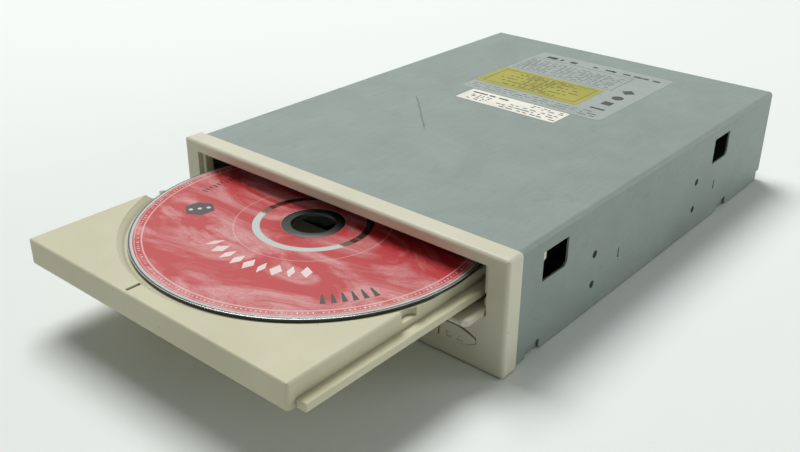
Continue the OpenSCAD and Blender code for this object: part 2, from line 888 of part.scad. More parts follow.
module tray() {
    end_y = tray_y + tray_len;
    color([0.84, 0.81, 0.68])
    union() {
        difference() {
            tray_block();
            tray_hollow();
            translate([0, disc_y, ledge_z])
                cylinder(h = deck_z - ledge_z, r1 = recess_r, r2 = recess_top_r, $fn = 128);
            rod_z([0, disc_y, deck_z - fit], over, recess_top_r);
            rod_z([0, disc_y, ledge_z - data_drop], tray_h, data_r);
            rod_z([0, disc_y, ledge_z - small_drop], tray_h, small_disc_r);
            // slot for the turntable and the pickup, open at the back
            rod_z([0, disc_y, tray_foot - over], tray_h + 2 * over, slot_w / 2);
            block([-slot_w / 2, slot_w / 2], [disc_y, end_y + over], [tray_foot - over, deck_z + over]);
            // thumb scoops where the recess runs out of the deck's sides
            both_sides()
                rod_z([scoop_x, disc_y - sqrt(pow(recess_top_r, 2) - pow(tray_w / 2, 2)),
                    tray_foot + rail_h + tray_wall], tray_h, scoop_r / 2);
            // sighting nick at the front of the deck
            translate([deck_nick_at[0], tray_y + deck_nick_at[1], deck_z - deck_nick[2]])
                cube(deck_nick);
        }
        both_sides()
            along_y(tray_y + rail_setback, tray_len - rail_setback)
                round_rect([tray_w / 2 - tray_wall / 2, rail_x], [tray_foot, tray_foot + rail_h],
                    deck_edge_r / 2);
        // rack along the inner side of the left wall
        translate([rack_line_x, gear_y, rack_z])
            rack_strip();
    }
}

// The rack stands still in the tray, a gap of its teeth at the gear's middle as drawn
module rack_strip() {
    pitch = PI * loader_module;
    behind = floor((tray_y + tray_len - tray_wall - gear_y) / pitch);
    ahead = floor((gear_y - tray_y - tray_wall) / pitch);
    back = rack_line_x + tray_w / 2 - tray_wall / 2;
    count = behind + ahead;
    translate([0, (behind - ahead) * pitch / 2, 0])
        linear_extrude(rack_h)
            polygon(rack_points(count, loader_module, tooth_play, back));
}

// Disc

ring_r = 17;
ring_t = 0.5;
ring_rise = 0.15;

module disc() {
    color([0.8, 0.25, 0.25])
    difference() {
        union() {
            rod_z([0, disc_y, ledge_z], disc_t, disc_d / 2, $fn = 128);
            rod_z([0, disc_y, ledge_z - ring_rise], disc_t, ring_r + ring_t);
        }
        rod_z([0, disc_y, ledge_z - over], disc_t + 2 * over, disc_hole_d / 2);
        rod_z([0, disc_y, ledge_z - over], over, ring_r);
    }
}

// Front controls

stem_w = 4;
stem_h = 3;
switch_w = 6;
switch_h = 6.4;
switch_d = 3.6;
switch_plunger_r = 1.5;
switch_plunger_len = 1;
button_flange = 0.9;
button_flange_t = 0.8;
switch_setback = 2;
switch_y = front_y + switch_setback;
switch_offset = 6.2;
stem_drop = 1.2;
stem_z = panel_z - stem_h / 2 - stem_drop;

module leaf_button() {
    difference() {
        union() {
            along_y(bezel_y - button_proud, button_proud + bezel_wall + fit + button_flange_t) leaf(0);
            along_y(wall_y + fit, button_flange_t) leaf_flange();
        }
        // symbols sunk in the face: a square to stop and a triangle to open
        along_y(bezel_y - button_proud - over, over + symbol_depth) children();
    }
    along_y(bezel_y + bezel_wall - fit, switch_y - switch_plunger_len - button_travel - fit
        - bezel_y - bezel_wall + fit)
        translate([button_x + switch_offset - stem_w / 2, stem_z])
            square([stem_w, stem_h]);
}

symbol_size = 1.9;
symbol_depth = 0.2;
symbol_low = 2;
stop_at = 3.2;
open_at = 7.2;
open_low = 1.8;
open_half = symbol_size / 1.5;
play_at = 7.6;
bar_at = 3.6;
bar_w = 0.6;

module eject_button() {
    color([0.83, 0.81, 0.7])
    leaf_button() {
        translate([button_x + stop_at, panel_z - symbol_low]) square(symbol_size);
        translate([button_x + open_at, panel_z - open_low])
            polygon([[0, 0], [2 * open_half, 0], [open_half, symbol_size]]);
    }
}

module play_button() {
    color([0.83, 0.81, 0.7])
    translate([2 * button_x, 0, 0])
        mirror([1, 0, 0])
            leaf_button() {
                translate([button_x + play_at, panel_z - symbol_low])
                    polygon([[0, 0], [0, symbol_size], [-symbol_size, symbol_size / 2]]);
                translate([button_x + bar_at, panel_z - symbol_low]) square([bar_w, symbol_size]);
            }
}

module button_switches() {
    color([0.15, 0.15, 0.16])
    for (s = [-1, 1]) {
        x = button_x + s * switch_offset;
        block([x - switch_w / 2, x + switch_w / 2], [switch_y, switch_y + switch_d],
            [front_board_z + board_t, front_board_z + board_t + switch_h]);
        rod_y([x, switch_y - switch_plunger_len, stem_z + stem_h / 2],
            switch_plunger_len + switch_d / 2, switch_plunger_r);
    }
}

volume_ribs = 36;
volume_rib_r = 0.35;
volume_shaft_r = 1.5;
volume_box = 5;
volume_shaft_end = 0.8;

module volume_wheel() {
    color([0.84, 0.82, 0.72])
    difference() {
        rod_z([-volume_x, volume_y, volume_z - volume_t / 2], volume_t, volume_r);
        // finger grooves round the rim
        for (i = [0:volume_ribs - 1])
            translate([-volume_x, volume_y, 0])
                rotate([0, 0, i * 360 / volume_ribs])
                    rod_z([volume_r + volume_rib_r / 3, 0, volume_z - volume_t], 2 * volume_t,
                        volume_rib_r);
        rod_z([-volume_x, volume_y, volume_z - volume_t], 2 * volume_t, volume_shaft_r + bore_play);
    }
}

module volume_control() {
    top = volume_z - volume_t / 2 - slide_gap;
    color([0.2, 0.22, 0.2])
    union() {
        block([-volume_x - volume_box, -volume_x + volume_box], [volume_y - volume_box, volume_y + volume_box],
            [front_board_z + board_t, top]);
        rod_z([-volume_x, volume_y, top - fit], volume_t + slide_gap + volume_shaft_end, volume_shaft_r);
    }
}

jack_w = 9;
jack_inset = 0.6;
jack_end_t = 1.2;
jack_len = 12.6;
jack_roof = 3.7;
jack_top = jack_z + jack_roof;
jack_y = wall_y + fit;

module headphone_jack() {
    color([0.1, 0.1, 0.11])
    difference() {
        union() {
            block([-jack_x - jack_w / 2, -jack_x + jack_w / 2], [jack_y, jack_y + jack_len],
                [front_board_z + board_t, jack_top]);
            rod_y([-jack_x, bezel_y + jack_inset, jack_z], jack_len / 2, jack_collar_r);
        }
        rod_y([-jack_x, bezel_y - over, jack_z], over + jack_y + jack_len - jack_end_t - bezel_y, jack_r);
    }
}

indicator_len = 3;
indicator_foot = 2;

module indicator_lens() {
    color([0.75, 0.7, 0.35])
    union() {
        block([indicator_x - indicator_w / 2, indicator_x + indicator_w / 2],
            [bezel_y - fit, wall_y + indicator_len], [panel_z - indicator_h / 2, panel_z + indicator_h / 2]);
        block([indicator_x - indicator_w / 2, indicator_x + indicator_w / 2],
            [wall_y + indicator_len - fit, wall_y + indicator_len + indicator_foot],
            [front_board_z + board_t, panel_z + indicator_h / 2]);
    }
}

front_board_d = 10;
front_board_gap = 0.6;
front_board_y = wall_y + front_board_gap;
front_lobe_w = 48;
front_lobe_d = 15;

module front_board() {
    color([0.12, 0.38, 0.2])
    rise(front_board_z, board_t)
        difference() {
            union() {
                translate([-front_board_w / 2, front_board_y]) square([front_board_w, front_board_d]);
                translate([-front_board_w / 2, front_board_y]) square([front_lobe_w, front_lobe_d]);
            }
            for (x = [-front_peg_x, front_peg_x])
                translate([x, front_y + front_peg_y]) circle(mount_hole_r);
        }
}

// Loader frame, the large moulding that guides the tray and carries the works

wall_top = bridge_z;
bridge_seat_past = 2;
bridge_seat_len = bridge_d + 2 * bridge_seat_past;
post_r = 3.6;
post_hole_r = mount_hole_r - fit;
spindle_top_gap = 0.4;
cam_guide_t = 1.6;
cam_guide_z = frame_floor_z + frame_floor_t;
cam_flange_t = 1.6;
cam_flange_d = 7;
bracket_w = 3;
bracket_y = [30, 64, 108, 150];
floor_lead = 4;
floor_tail = 8;
pivot_ear_r = 4;
bridge_screw_side = 1.2;
bridge_screw_x = channel_x + channel_wall + bridge_screw_side;
bridge_post_r = 2.6;
bridge_screw_r = 1;
pivot_ear_side = 4.8;
pivot_ear_x = lift_w / 2 - pivot_ear_side;
pivot_ear_t = 3;
cam_guide_y = cam_y - cam_flange_d - slide_gap;
motor_collar_r = 3;

module channel_section() {
    // outline of the left-hand wall and its two lips, drawn on the right and mirrored
    translate([channel_x, frame_floor_z])
        square([channel_wall, upper_lip_z + lip_t - frame_floor_z]);
    translate([lip_x, lower_lip_z - lip_t])
        square([channel_x - lip_x + channel_wall / 2, lip_t]);
    translate([lip_x, upper_lip_z])
        square([channel_x - lip_x + channel_wall / 2, lip_t]);
}

module loader_frame() {
    color([0.09, 0.09, 0.1])
    difference() {
        union() {
            both_sides() {
                along_y(frame_front_y, frame_back_y - frame_front_y) channel_section();
                // raised seats for the clamp bridge
                block([channel_x, channel_x + channel_wall],
                    [spindle_y - bridge_seat_len / 2, spindle_y + bridge_seat_len / 2],
                    [frame_floor_z, wall_top]);
                rod_z([bridge_screw_x, spindle_y, upper_lip_z], wall_top - upper_lip_z, bridge_post_r);
                // posts that the base is screwed to, and ribs that touch the flanges
                for (y = post_y)
                    rod_z([post_x, front_y + y, base_t + fit / 2],
                        frame_floor_z + frame_floor_t / 2 - base_t - fit / 2, post_r);
                for (y = bracket_y)
                    block([channel_x + channel_wall - fit, inner_x],
                        [front_y + y, front_y + y + bracket_w], [frame_floor_z, flange_h]);
            }
            // floor, open in the middle for the pickup unit
            rise(frame_floor_z, frame_floor_t)
                difference() {
                    translate([-channel_x - channel_wall / 2, frame_front_y + floor_lead])
                        square([2 * channel_x + channel_wall,
                            frame_back_y + floor_tail - frame_front_y - floor_lead]);
                    translate([-well_x, well_front_y])
                        square([2 * well_x, well_back_y - well_front_y]);
                }
            // spindles for the two loading gears
            rod_z([tray_gear_x, gear_y, frame_floor_z], pinion_z + gear_t + spindle_top_gap - frame_floor_z,
                gear_spindle_r);
            rod_z([pulley_gear_x, gear_y, frame_floor_z], wheel_z + gear_t + spindle_top_gap - frame_floor_z,
                gear_spindle_r);
            // shoulders that carry the gears at their heights
            rod_z([tray_gear_x, gear_y, frame_floor_z], wheel_z - slide_gap - frame_floor_z,
                2 * gear_spindle_r);
            rod_z([pulley_gear_x, gear_y, frame_floor_z], pulley_z - slide_gap - frame_floor_z,
                2 * gear_spindle_r);
            // trunnion ears for the pickup unit
            both_sides()
                difference() {
                    block([pivot_ear_x, pivot_ear_x + pivot_ear_t],
                        [pivot_y - pivot_ear_r, pivot_y + pivot_ear_r], [frame_floor_z, pivot_z + pivot_ear_r]);
                    rod_x([pivot_ear_x - over, pivot_y, pivot_z], pivot_ear_t + 2 * over,
                        pivot_r + bore_play);
                }
            // rail that guides the cam slider's flange
            block([-well_x, well_x], [cam_guide_y - cam_guide_t, cam_guide_y],
                [frame_floor_z + frame_floor_t / 2, cam_guide_z + slide_gap + cam_flange_t]);
        }
        for (x = [-post_x, post_x], y = post_y)
            rod_z([x, front_y + y, -over], frame_floor_z, post_hole_r);
        both_sides()
            rod_z([bridge_screw_x, spindle_y, upper_lip_z + lip_t], wall_top, bridge_screw_r - fit / 2);
        // clearance for the loading motor's collar and shaft
        rod_z([motor_x, gear_y, frame_floor_z - over], frame_floor_t + 2 * over, motor_collar_r + 2 * fit);
    }
}

// Loading motor and the belt drive

motor_cap_t = 0.5;

module loading_motor() {
    top = frame_floor_z - fit / 2;
    color([0.68, 0.69, 0.7])
    union() {
        rod_z([motor_x, gear_y, top - motor_h], motor_h, motor_r);
        rod_z([motor_x, gear_y, top - fit], frame_floor_t / 2 + fit, motor_collar_r);
        rod_z([motor_x, gear_y, top - fit], pulley_z + pulley_t + pulley_flange_t - top, motor_shaft_r);
        rod_z([motor_x, gear_y, top - motor_h - motor_cap_t], 2 * motor_cap_t, motor_collar_r);
    }
}

// A pulley with a flange each side of the belt's run, standing on z
module belt_pulley(r) {
    rotate_extrude()
        polygon([
            [0, 0], [r + pulley_flange, 0], [r + pulley_flange, pulley_flange_t], [r, pulley_flange_t],
            [r, pulley_flange_t + pulley_t], [r + pulley_flange, pulley_flange_t + pulley_t],
            [r + pulley_flange, 2 * pulley_flange_t + pulley_t], [0, 2 * pulley_flange_t + pulley_t]
        ]);
}

module motor_pulley() {
    color([0.9, 0.9, 0.88])
    difference() {
        translate([motor_x, gear_y, pulley_z]) belt_pulley(motor_pulley_r);
        rod_z([motor_x, gear_y, pulley_z - over], pulley_t + 2 * pulley_flange_t + 2 * over,
            motor_shaft_r + bore_play);
    }
}

module pulley_gear() {
    top = wheel_z + gear_t;
    color([0.93, 0.93, 0.9])
    difference() {
        union() {
            translate([pulley_gear_x, gear_y, pulley_z]) belt_pulley(pulley_r);
            rod_z([pulley_gear_x, gear_y, pulley_z], wheel_z - pulley_z + fit, pinion_r - hub_share * loader_module);
            translate([pulley_gear_x, gear_y, wheel_z])
                rotate([0, 0, 180 + 180 / pinion_teeth])
                    gear(pinion_teeth, loader_module, tooth_play, gear_t);
        }
        rod_z([pulley_gear_x, gear_y, pulley_z - over], top - pulley_z + 2 * over,
            gear_spindle_r + bore_play);
    }
}

module tray_gear() {
    color([0.93, 0.93, 0.9])
    difference() {
        union() {
            translate([tray_gear_x, gear_y, wheel_z])
                gear(wheel_teeth, loader_module, tooth_play, gear_t);
            rod_z([tray_gear_x, gear_y, wheel_z], pinion_z - wheel_z + fit, pinion_r - hub_share * loader_module);
            translate([tray_gear_x, gear_y, pinion_z])
                rotate([0, 0, 180])
                    gear(pinion_teeth, loader_module, tooth_play, gear_t);
        }
        rod_z([tray_gear_x, gear_y, wheel_z - over], pinion_z + gear_t - wheel_z + 2 * over,
            gear_spindle_r + bore_play);
    }
}

// The belt's line: an arc round each pulley, joined by the runs between them
belt_step = 5;
function arc(centre, r, from, to) = [
    for (k = [0:round((to - from) / belt_step)])
        centre + polar(r, from + (to - from) * k / round((to - from) / belt_step))
];

module belt_outline(grow) {
    span = motor_x - pulley_gear_x;
    big = pulley_r + fit / 2 + grow;
    small = motor_pulley_r + fit / 2 + grow;
    lean = acos((big - small) / span);
    polygon(concat(arc([0, 0], big, lean, 360 - lean), arc([span, 0], small, -lean, lean)));
}

module drive_belt() {
    color([0.12, 0.12, 0.12])
    translate([pulley_gear_x, gear_y, pulley_z + pulley_flange_t + (pulley_t - belt_h) / 2])
        linear_extrude(belt_h)
            difference() {
                belt_outline(belt_t);
                belt_outline(0);
            }
}

// Lifting cam

module cam_slider() {
    low_z = pivot_z + (cam_pin_z - pivot_z) * cos(drop_angle) - cam_rise;
    color([0.92, 0.92, 0.88])
    difference() {
        union() {
            block([-cam_travel - cam_margin, cam_margin], [cam_y, cam_y + cam_plate_t],
                [cam_foot_z, cam_top_z]);
            block([-cam_travel - cam_margin, cam_margin],
                [cam_guide_y + slide_gap, cam_y + fit],
                [cam_guide_z + fit, cam_guide_z + fit + cam_flange_t]);
        }
        // the slot climbs towards the left, so the pin rises as the slider moves right
        along_y(cam_y - over, cam_plate_t + 2 * over) {
            r = cam_pin_r + cam_slot_play;
            a = atan(cam_rise / cam_travel);
            translate([0, low_z]) circle(r);
            translate([-cam_travel, low_z + cam_rise]) circle(r);
            translate([0, low_z])
                rotate(180 - a)
                    translate([0, -r]) square([cam_travel / cos(a), 2 * r]);
        }
    }
}

// Pickup unit: everything here is drawn level, then hung down about its pivot

module hung() {
    translate([0, pivot_y, pivot_z])
        rotate([drop_angle, 0, 0])
            translate([0, -pivot_y, -pivot_z])
                children();
}

arm_w = 5;
arm_past = 2.4;
arm_pin = 4;
damper_screw_r = 1.2;
damper_side = 6.5;
damper_x = lift_w / 2 - damper_side;
damper_lead = 4;
damper_tail = 3;
function damper_places() = [
    for (x = [-damper_x, damper_x], y = [plate_front_y + damper_lead, plate_back_y - damper_tail]) [x, y]
];

module lift_frame() {
    color([0.1, 0.1, 0.11])
    hung()
    difference() {
        union() {
            rise(lift_z, lift_t)
                difference() {
                    round_rect([-lift_w / 2, lift_w / 2], [lift_front_y, lift_back_y], lift_corner_r);
                    round_rect([-lift_w / 2 + lift_rim, lift_w / 2 - lift_rim],
                        [lift_front_y + lift_rim, lift_back_y - lift_rim], lift_corner_r);
                    // bites for the pickup's motor and for the rods' ends
                    translate([sled_pinion_x, sled_pinion_y]) circle(sled_motor_r + 2 * slide_gap);
                }
            // arms back to the trunnions
            both_sides() {
                block([pivot_ear_x - slide_gap - arm_w, pivot_ear_x - slide_gap],
                    [plate_back_y, pivot_y + arm_past], [lift_z, lift_z + lift_t]);
                rod_x([pivot_ear_x - slide_gap - arm_pin, pivot_y, pivot_z],
                    arm_pin + slide_gap + pivot_ear_t - fit, pivot_r);
            }
            // cam pin at the front
            rod_y([0, lift_front_y - cam_pin_len, cam_pin_z], cam_pin_len + over, cam_pin_r);
        }
        for (at = damper_places())
            rod_z([at[0], at[1], lift_z - over], lift_t + 2 * over, damper_screw_r + fit);
    }
}

module rubber_dampers() {
    color([0.25, 0.25, 0.27])
    hung()
    for (at = damper_places())
        difference() {
            rod_z([at[0], at[1], lift_z + lift_t], damper_h, damper_r);
            rod_z([at[0], at[1], lift_z], lift_t + damper_h + over, damper_screw_r + fit);
        }
}

// Screws with a shoulder hold the plate to its dampers
damper_head_h = 0.9;

module damper_screws() {
    color([0.75, 0.76, 0.77])
    hung()
    for (at = damper_places())
        union() {
            rod_z([at[0], at[1], plate_z + plate_t], damper_head_h, 2 * damper_screw_r);
            rod_z([at[0], at[1], lift_z], plate_z + plate_t + damper_head_h / 2 - lift_z, damper_screw_r);
        }
}

plate_well_side = 0.6;
plate_well_x = rod_x - plate_well_side;
plate_corner_r = 3;
clip_half_w = 3;
clip_under = 1;
rod_end = 1;

module mechanism_plate() {
    color([0.7, 0.71, 0.72])
    hung()
    difference() {
        union() {
            rise(plate_z, plate_t)
                difference() {
                    round_rect([-plate_w / 2, plate_w / 2], [plate_front_y, plate_back_y], plate_corner_r);
                    // opening that the pickup runs in
                    translate([-plate_well_x, rod_front_y + rod_clip])
                        square([2 * plate_well_x, rod_back_y - rod_front_y - 2 * rod_clip]);
                    for (at = damper_places())
                        translate(at) circle(damper_screw_r + fit);
                }
            // stud that the pickup's gear turns on
            rod_z([sled_gear_x, sled_gear_y, plate_z + plate_t / 2],
                sled_rack_z + sled_gear_t + slide_gap - plate_z - plate_t / 2, sled_post_r);
            // blocks under the plate that hold the rods' ends
            both_sides()
                for (y = [rod_front_y, rod_back_y - rod_clip])
                    block([rod_x - clip_half_w, rod_x + clip_half_w], [y, y + rod_clip],
                        [rod_z - rod_r - clip_under, plate_z + fit]);
        }
        both_sides()
            rod_y([rod_x, rod_front_y + rod_end, rod_z], rod_back_y - rod_front_y - 2 * rod_end, rod_r + bore_play);
        rod_z([0, spindle_y, plate_z - over], plate_t + 2 * over, spindle_boss_r + fit);
        rod_z([sled_pinion_x, sled_pinion_y, plate_z - over], plate_t + 2 * over, 2 * sled_post_r + fit);
    }
}

spindle_boss_r = 4;
sled_post_r = 1;

spindle_boss_drop = 2.4;

module spindle_motor() {
    color([0.62, 0.63, 0.65])
    hung()
    union() {
        rod_z([0, spindle_y, spindle_can_z], spindle_can_h, spindle_can_r);
        rod_z([0, spindle_y, plate_z - spindle_boss_drop], spindle_boss_drop + plate_t + fit, spindle_boss_r);
        rod_z([0, spindle_y, spindle_can_z], platform_z + cone_h / 2 - spindle_can_z, spindle_r);
    }
}

// Turntable: platform, centring cone and hub, made in one turning
module turntable() {
    color([0.15, 0.15, 0.16])
    hung()
    translate([0, spindle_y, 0])
        rotate_extrude()
            polygon([
                [spindle_r + bore_play, spindle_can_z + spindle_can_h + slide_gap],
                [hub_r, spindle_can_z + spindle_can_h + slide_gap],
                [hub_r, platform_z - platform_t],
                [platform_r, platform_z - platform_t],
                [platform_r, platform_z],
                [cone_r, platform_z],
                [cone_r, platform_z + cone_h / 3],
                [cone_top_r, platform_z + cone_h],
                [spindle_r + bore_play, platform_z + cone_h]
            ]);
}

hub_r = 5;

module guide_rods() {
    color([0.8, 0.81, 0.82])
    hung()
    both_sides()
        rod_y([rod_x, rod_front_y + rod_end, rod_z], rod_back_y - rod_front_y - 2 * rod_end, rod_r);
}

// Pickup: a cast body on two rods, with a rack on its right side
sled_foot = 2;
sled_roof = 4;
sled_root = 1;
lens_well_h = 8;
lens_well_depth = 6;
lens_well_gap = 1.2;
sled_groove = 3;
sled_groove_len = 2;
sled_groove_depth = 7;
rack_spare = 2;

module pickup_sled() {
    front = lens_y - sled_ahead;
    back = lens_y + sled_behind;
    color([0.3, 0.31, 0.33])
    hung()
    difference() {
        union() {
            block([-sled_w / 2, sled_w / 2], [front, back], [rod_z - sled_foot, lens_z - sled_roof]);
            // bearings on the rods
            for (y = [front, back - sled_ear_len])
                block([-rod_x - sled_ear_w, -sled_w / 2 + sled_root], [y, y + sled_ear_len],
                    [rod_z - sled_ear_h / 2, rod_z + sled_ear_h / 2]);
            block([sled_w / 2 - sled_root, rod_x + sled_ear_w], [front, front + sled_ear_len],
                [rod_z - sled_ear_h / 2, rod_z + sled_ear_h / 2]);
            translate([sled_line_x, sled_gear_y, sled_rack_z])
                sled_rack(front, back);
        }
        both_sides()
            rod_y([rod_x, front - over, rod_z], sled_ahead + sled_behind + 2 * over, rod_r + bore_play);
        // well for the lens and its holder
        rod_z([0, lens_y, lens_z - lens_well_depth], lens_well_h, lens_r + lens_well_gap);
        block([-sled_w / 2 + sled_groove, sled_w / 2 - sled_groove],
            [front + sled_groove, front + sled_groove + sled_groove_len], [lens_z - sled_groove_depth, lens_z]);
    }
}

module sled_rack(front, back) {
    pitch = PI * sled_module;
    reach = pickup_travel + sled_gear_y - back + rack_spare;
    behind = floor((back + sled_root - sled_gear_y) / pitch);
    ahead = ceil((sled_gear_y - front + pickup_travel) / pitch) - ceil(reach / pitch);
    count = behind + ahead;
    back_x = sled_line_x - sled_w / 2 + sled_root;
    translate([0, (behind - ahead) * pitch / 2, 0])
        linear_extrude(sled_gear_t)
            polygon(rack_points(count, sled_module, tooth_play_small, back_x));
}

lens_barrel_h = 5.2;
lens_barrel_wall = 0.9;
lens_dome = 1.2;

module objective_lens() {
    color([0.5, 0.6, 0.75])
    hung()
    union() {
        rod_z([0, lens_y, lens_z - lens_well_depth], lens_barrel_h, lens_r + lens_barrel_wall);
        translate([0, lens_y, lens_z - lens_dome])
            intersection() {
                cylinder(h = lens_dome, r = lens_r);
                translate([0, 0, -2 * lens_r]) sphere(2 * lens_r + lens_dome);
            }
    }
}

module sled_gear() {
    color([0.93, 0.93, 0.9])
    hung()
    difference() {
        translate([sled_gear_x, sled_gear_y, sled_rack_z])
            rotate([0, 0, 180])
                gear(sled_gear_teeth, sled_module, tooth_play_small, sled_gear_t);
        rod_z([sled_gear_x, sled_gear_y, sled_rack_z - over], sled_gear_t + 2 * over,
            sled_post_r + bore_play);
    }
}

module sled_pinion() {
    color([0.75, 0.66, 0.4])
    hung()
    difference() {
        translate([sled_pinion_x, sled_pinion_y, sled_rack_z])
            rotate([0, 0, sled_pinion_turn + 180
                + (sled_pinion_turn - 180) * sled_gear_teeth / sled_pinion_teeth + 180 / sled_pinion_teeth])
                gear(sled_pinion_teeth, sled_module, tooth_play_small, sled_gear_t);
        rod_z([sled_pinion_x, sled_pinion_y, sled_rack_z - over], sled_gear_t + 2 * over,
            sled_post_r + bore_play);
    }
}

module sled_motor() {
    top = plate_z - fit / 2;
    color([0.7, 0.7, 0.72])
    hung()
    union() {
        rod_z([sled_pinion_x, sled_pinion_y, top - sled_motor_h], sled_motor_h, sled_motor_r);
        rod_z([sled_pinion_x, sled_pinion_y, top - fit], sled_rack_z + sled_gear_t - top + fit, sled_post_r);
    }
}

// Clamp

bridge_edge_side = 4;
bridge_edge_h = 3;

module clamp_bridge() {
    color([0.66, 0.67, 0.66])
    difference() {
        union() {
            block([-bridge_screw_x - bridge_post_r, bridge_screw_x + bridge_post_r],
                [spindle_y - bridge_d / 2, spindle_y + bridge_d / 2], [bridge_z, bridge_z + bridge_t]);
            // turned-up edges stiffen the strip
            for (y = [-bridge_d / 2, bridge_d / 2 - bridge_t])
                block([-channel_x + bridge_edge_side, channel_x - bridge_edge_side],
                    [spindle_y + y, spindle_y + y + bridge_t], [bridge_z, bridge_z + bridge_edge_h]);
        }
        rod_z([0, spindle_y, bridge_z - over], bridge_t + 2 * over, clamp_hole_r);
        for (x = [-bridge_screw_x, bridge_screw_x])
            rod_z([x, spindle_y, bridge_z - over], bridge_t + 2 * over, bridge_screw_r + fit);
    }
}

clamp_flange_t = 1.2;
clamp_cap_t = 0.8;
clamp_edge = 0.8;
clamp_under = 0.4;
clamp_bore_r = cone_r + clamp_edge;

// Clamper: a loose puck that hangs in the bridge by its upper flange
module clamper() {
    flange_z = bridge_z + bridge_t + fit;
    top = flange_z + clamp_flange_t;
    color([0.16, 0.16, 0.17])
    translate([0, spindle_y, 0])
        rotate_extrude()
            polygon([
                [clamp_bore_r, clamp_pad_z], [clamp_flange_r - clamp_edge, clamp_pad_z],
                [clamp_flange_r, clamp_pad_z + clamp_edge], [clamp_flange_r, bridge_z - clamp_under],
                [clamp_neck_r, bridge_z - clamp_under], [clamp_neck_r, flange_z],
                [clamp_flange_r, flange_z], [clamp_flange_r, top], [0, top + clamp_cap_t], [0, top],
                [clamp_bore_r, top - fit]
            ]);
}

bridge_head_r = 2;
bridge_head_h = 1.2;
bridge_screw_rise = 1;

module bridge_screws() {
    color([0.75, 0.76, 0.77])
    both_sides()
        union() {
            rod_z([bridge_screw_x, spindle_y, bridge_z + bridge_t], bridge_head_h, bridge_head_r);
            rod_z([bridge_screw_x, spindle_y, upper_lip_z + lip_t + bridge_screw_rise],
                bridge_z + bridge_t - upper_lip_z - lip_t - bridge_screw_rise + fit, bridge_screw_r - fit);
        }
}

recess_arm = 1.4;
recess_half_w = 0.3;
cover_screw_len = 7;

module cover_screws() {
    head_h = base_t - fit;
    color([0.75, 0.76, 0.77])
    for (x = [-post_x, post_x], y = post_y)
        translate([x, front_y + y, 0])
            union() {
                difference() {
                    cylinder(h = head_h - fit, r1 = sunk_r - fit, r2 = sunk_r - fit - head_h + fit);
                    // cross recess
                    for (turn = [0, 90])
                        rotate([0, 0, turn])
                            translate([-recess_arm, -recess_half_w, -over])
                                cube([2 * recess_arm, 2 * recess_half_w, over + head_h / 2]);
                }
                rod_z([0, 0, head_h / 2], cover_screw_len, post_hole_r - fit);
            }
}

// Main board and the sockets at the back

rear_face_y = back_y - connector_back;
board_top = main_board_z + board_t;
data_h = 9;
data_d = 9.2;
shell_t = 1.2;
pin_pitch = 2.54;
pin_r = 0.32;
power_h = 8.6;
power_d = 12;
power_pitch = 5.08;
power_pin_r = 1.05;
audio_h = 6.4;
audio_d = 8;
audio_pins = 4;
jumper_cols = 3;
jumper_d = 8;
main_board_back = 0.8;
data_key_w = 4.6;
audio_key_w = 6;
power_corner = 2.2;
jumper_roof = 1;

module main_board() {
    end_y = inner_back - main_board_back;
    color([0.1, 0.36, 0.2])
    rise(main_board_z, board_t)
        difference() {
            translate([-main_board_w / 2, main_board_y])
                square([main_board_w, end_y - main_board_y]);
            for (x = [-post_x, post_x])
                translate([x, front_y + post_y[1]]) circle(post_r + slide_gap);
        }
}

// Each row is the middle of a chip, seen from the case's front, and its two sides
chips = [
    [-30, 62, 24, 24], [20, 70, 20, 20], [-10, 110, 14, 28], [34, 112, 18, 10],
    [-38, 120, 12, 20], [36, 150, 14, 14], [-20, 156, 10, 10]
];
chip_t = 1.8;

module board_chips() {
    color([0.08, 0.08, 0.09])
    for (c = chips)
        translate([c[0] - c[2] / 2, front_y + c[1] - c[3] / 2, board_top])
            cube([c[2], c[3], chip_t]);
}

// A box header, open to the back, with a keying slot in its upper wall
module header_shell(x, w, h, d, key_w) {
    difference() {
        block([x - w / 2, x + w / 2], [rear_face_y - d, rear_face_y], [board_top, board_top + h]);
        block([x - w / 2 + shell_t, x + w / 2 - shell_t], [rear_face_y - d + 2 * shell_t, rear_face_y + over],
            [board_top + shell_t, board_top + h - shell_t]);
        block([x - key_w / 2, x + key_w / 2], [rear_face_y - d + 2 * shell_t, rear_face_y + over],
            [board_top + h - 2 * shell_t, board_top + h + over]);
    }
}

module data_connector() {
    color([0.12, 0.12, 0.13])
    difference() {
        header_shell(data_x, data_w, data_h, data_d, data_key_w);
        pin_holes(data_x, 20, 2, pin_pitch, pin_r, data_h, data_d);
    }
}

// Rows of round holes through the back wall of a header
module pin_holes(x, cols, rows, pitch, r, h, d) {
    for (i = [0:cols - 1], j = [0:rows - 1])
        rod_y([x + (i - (cols - 1) / 2) * pitch, rear_face_y - d - over,
            board_top + h / 2 + (j - (rows - 1) / 2) * pitch], 2 * shell_t + 2 * over, r);
}

module header_pins(x, cols, rows, pitch, r, h, d) {
    for (i = [0:cols - 1], j = [0:rows - 1])
        rod_y([x + (i - (cols - 1) / 2) * pitch, rear_face_y - d,
            board_top + h / 2 + (j - (rows - 1) / 2) * pitch], d - shell_t, r);
}

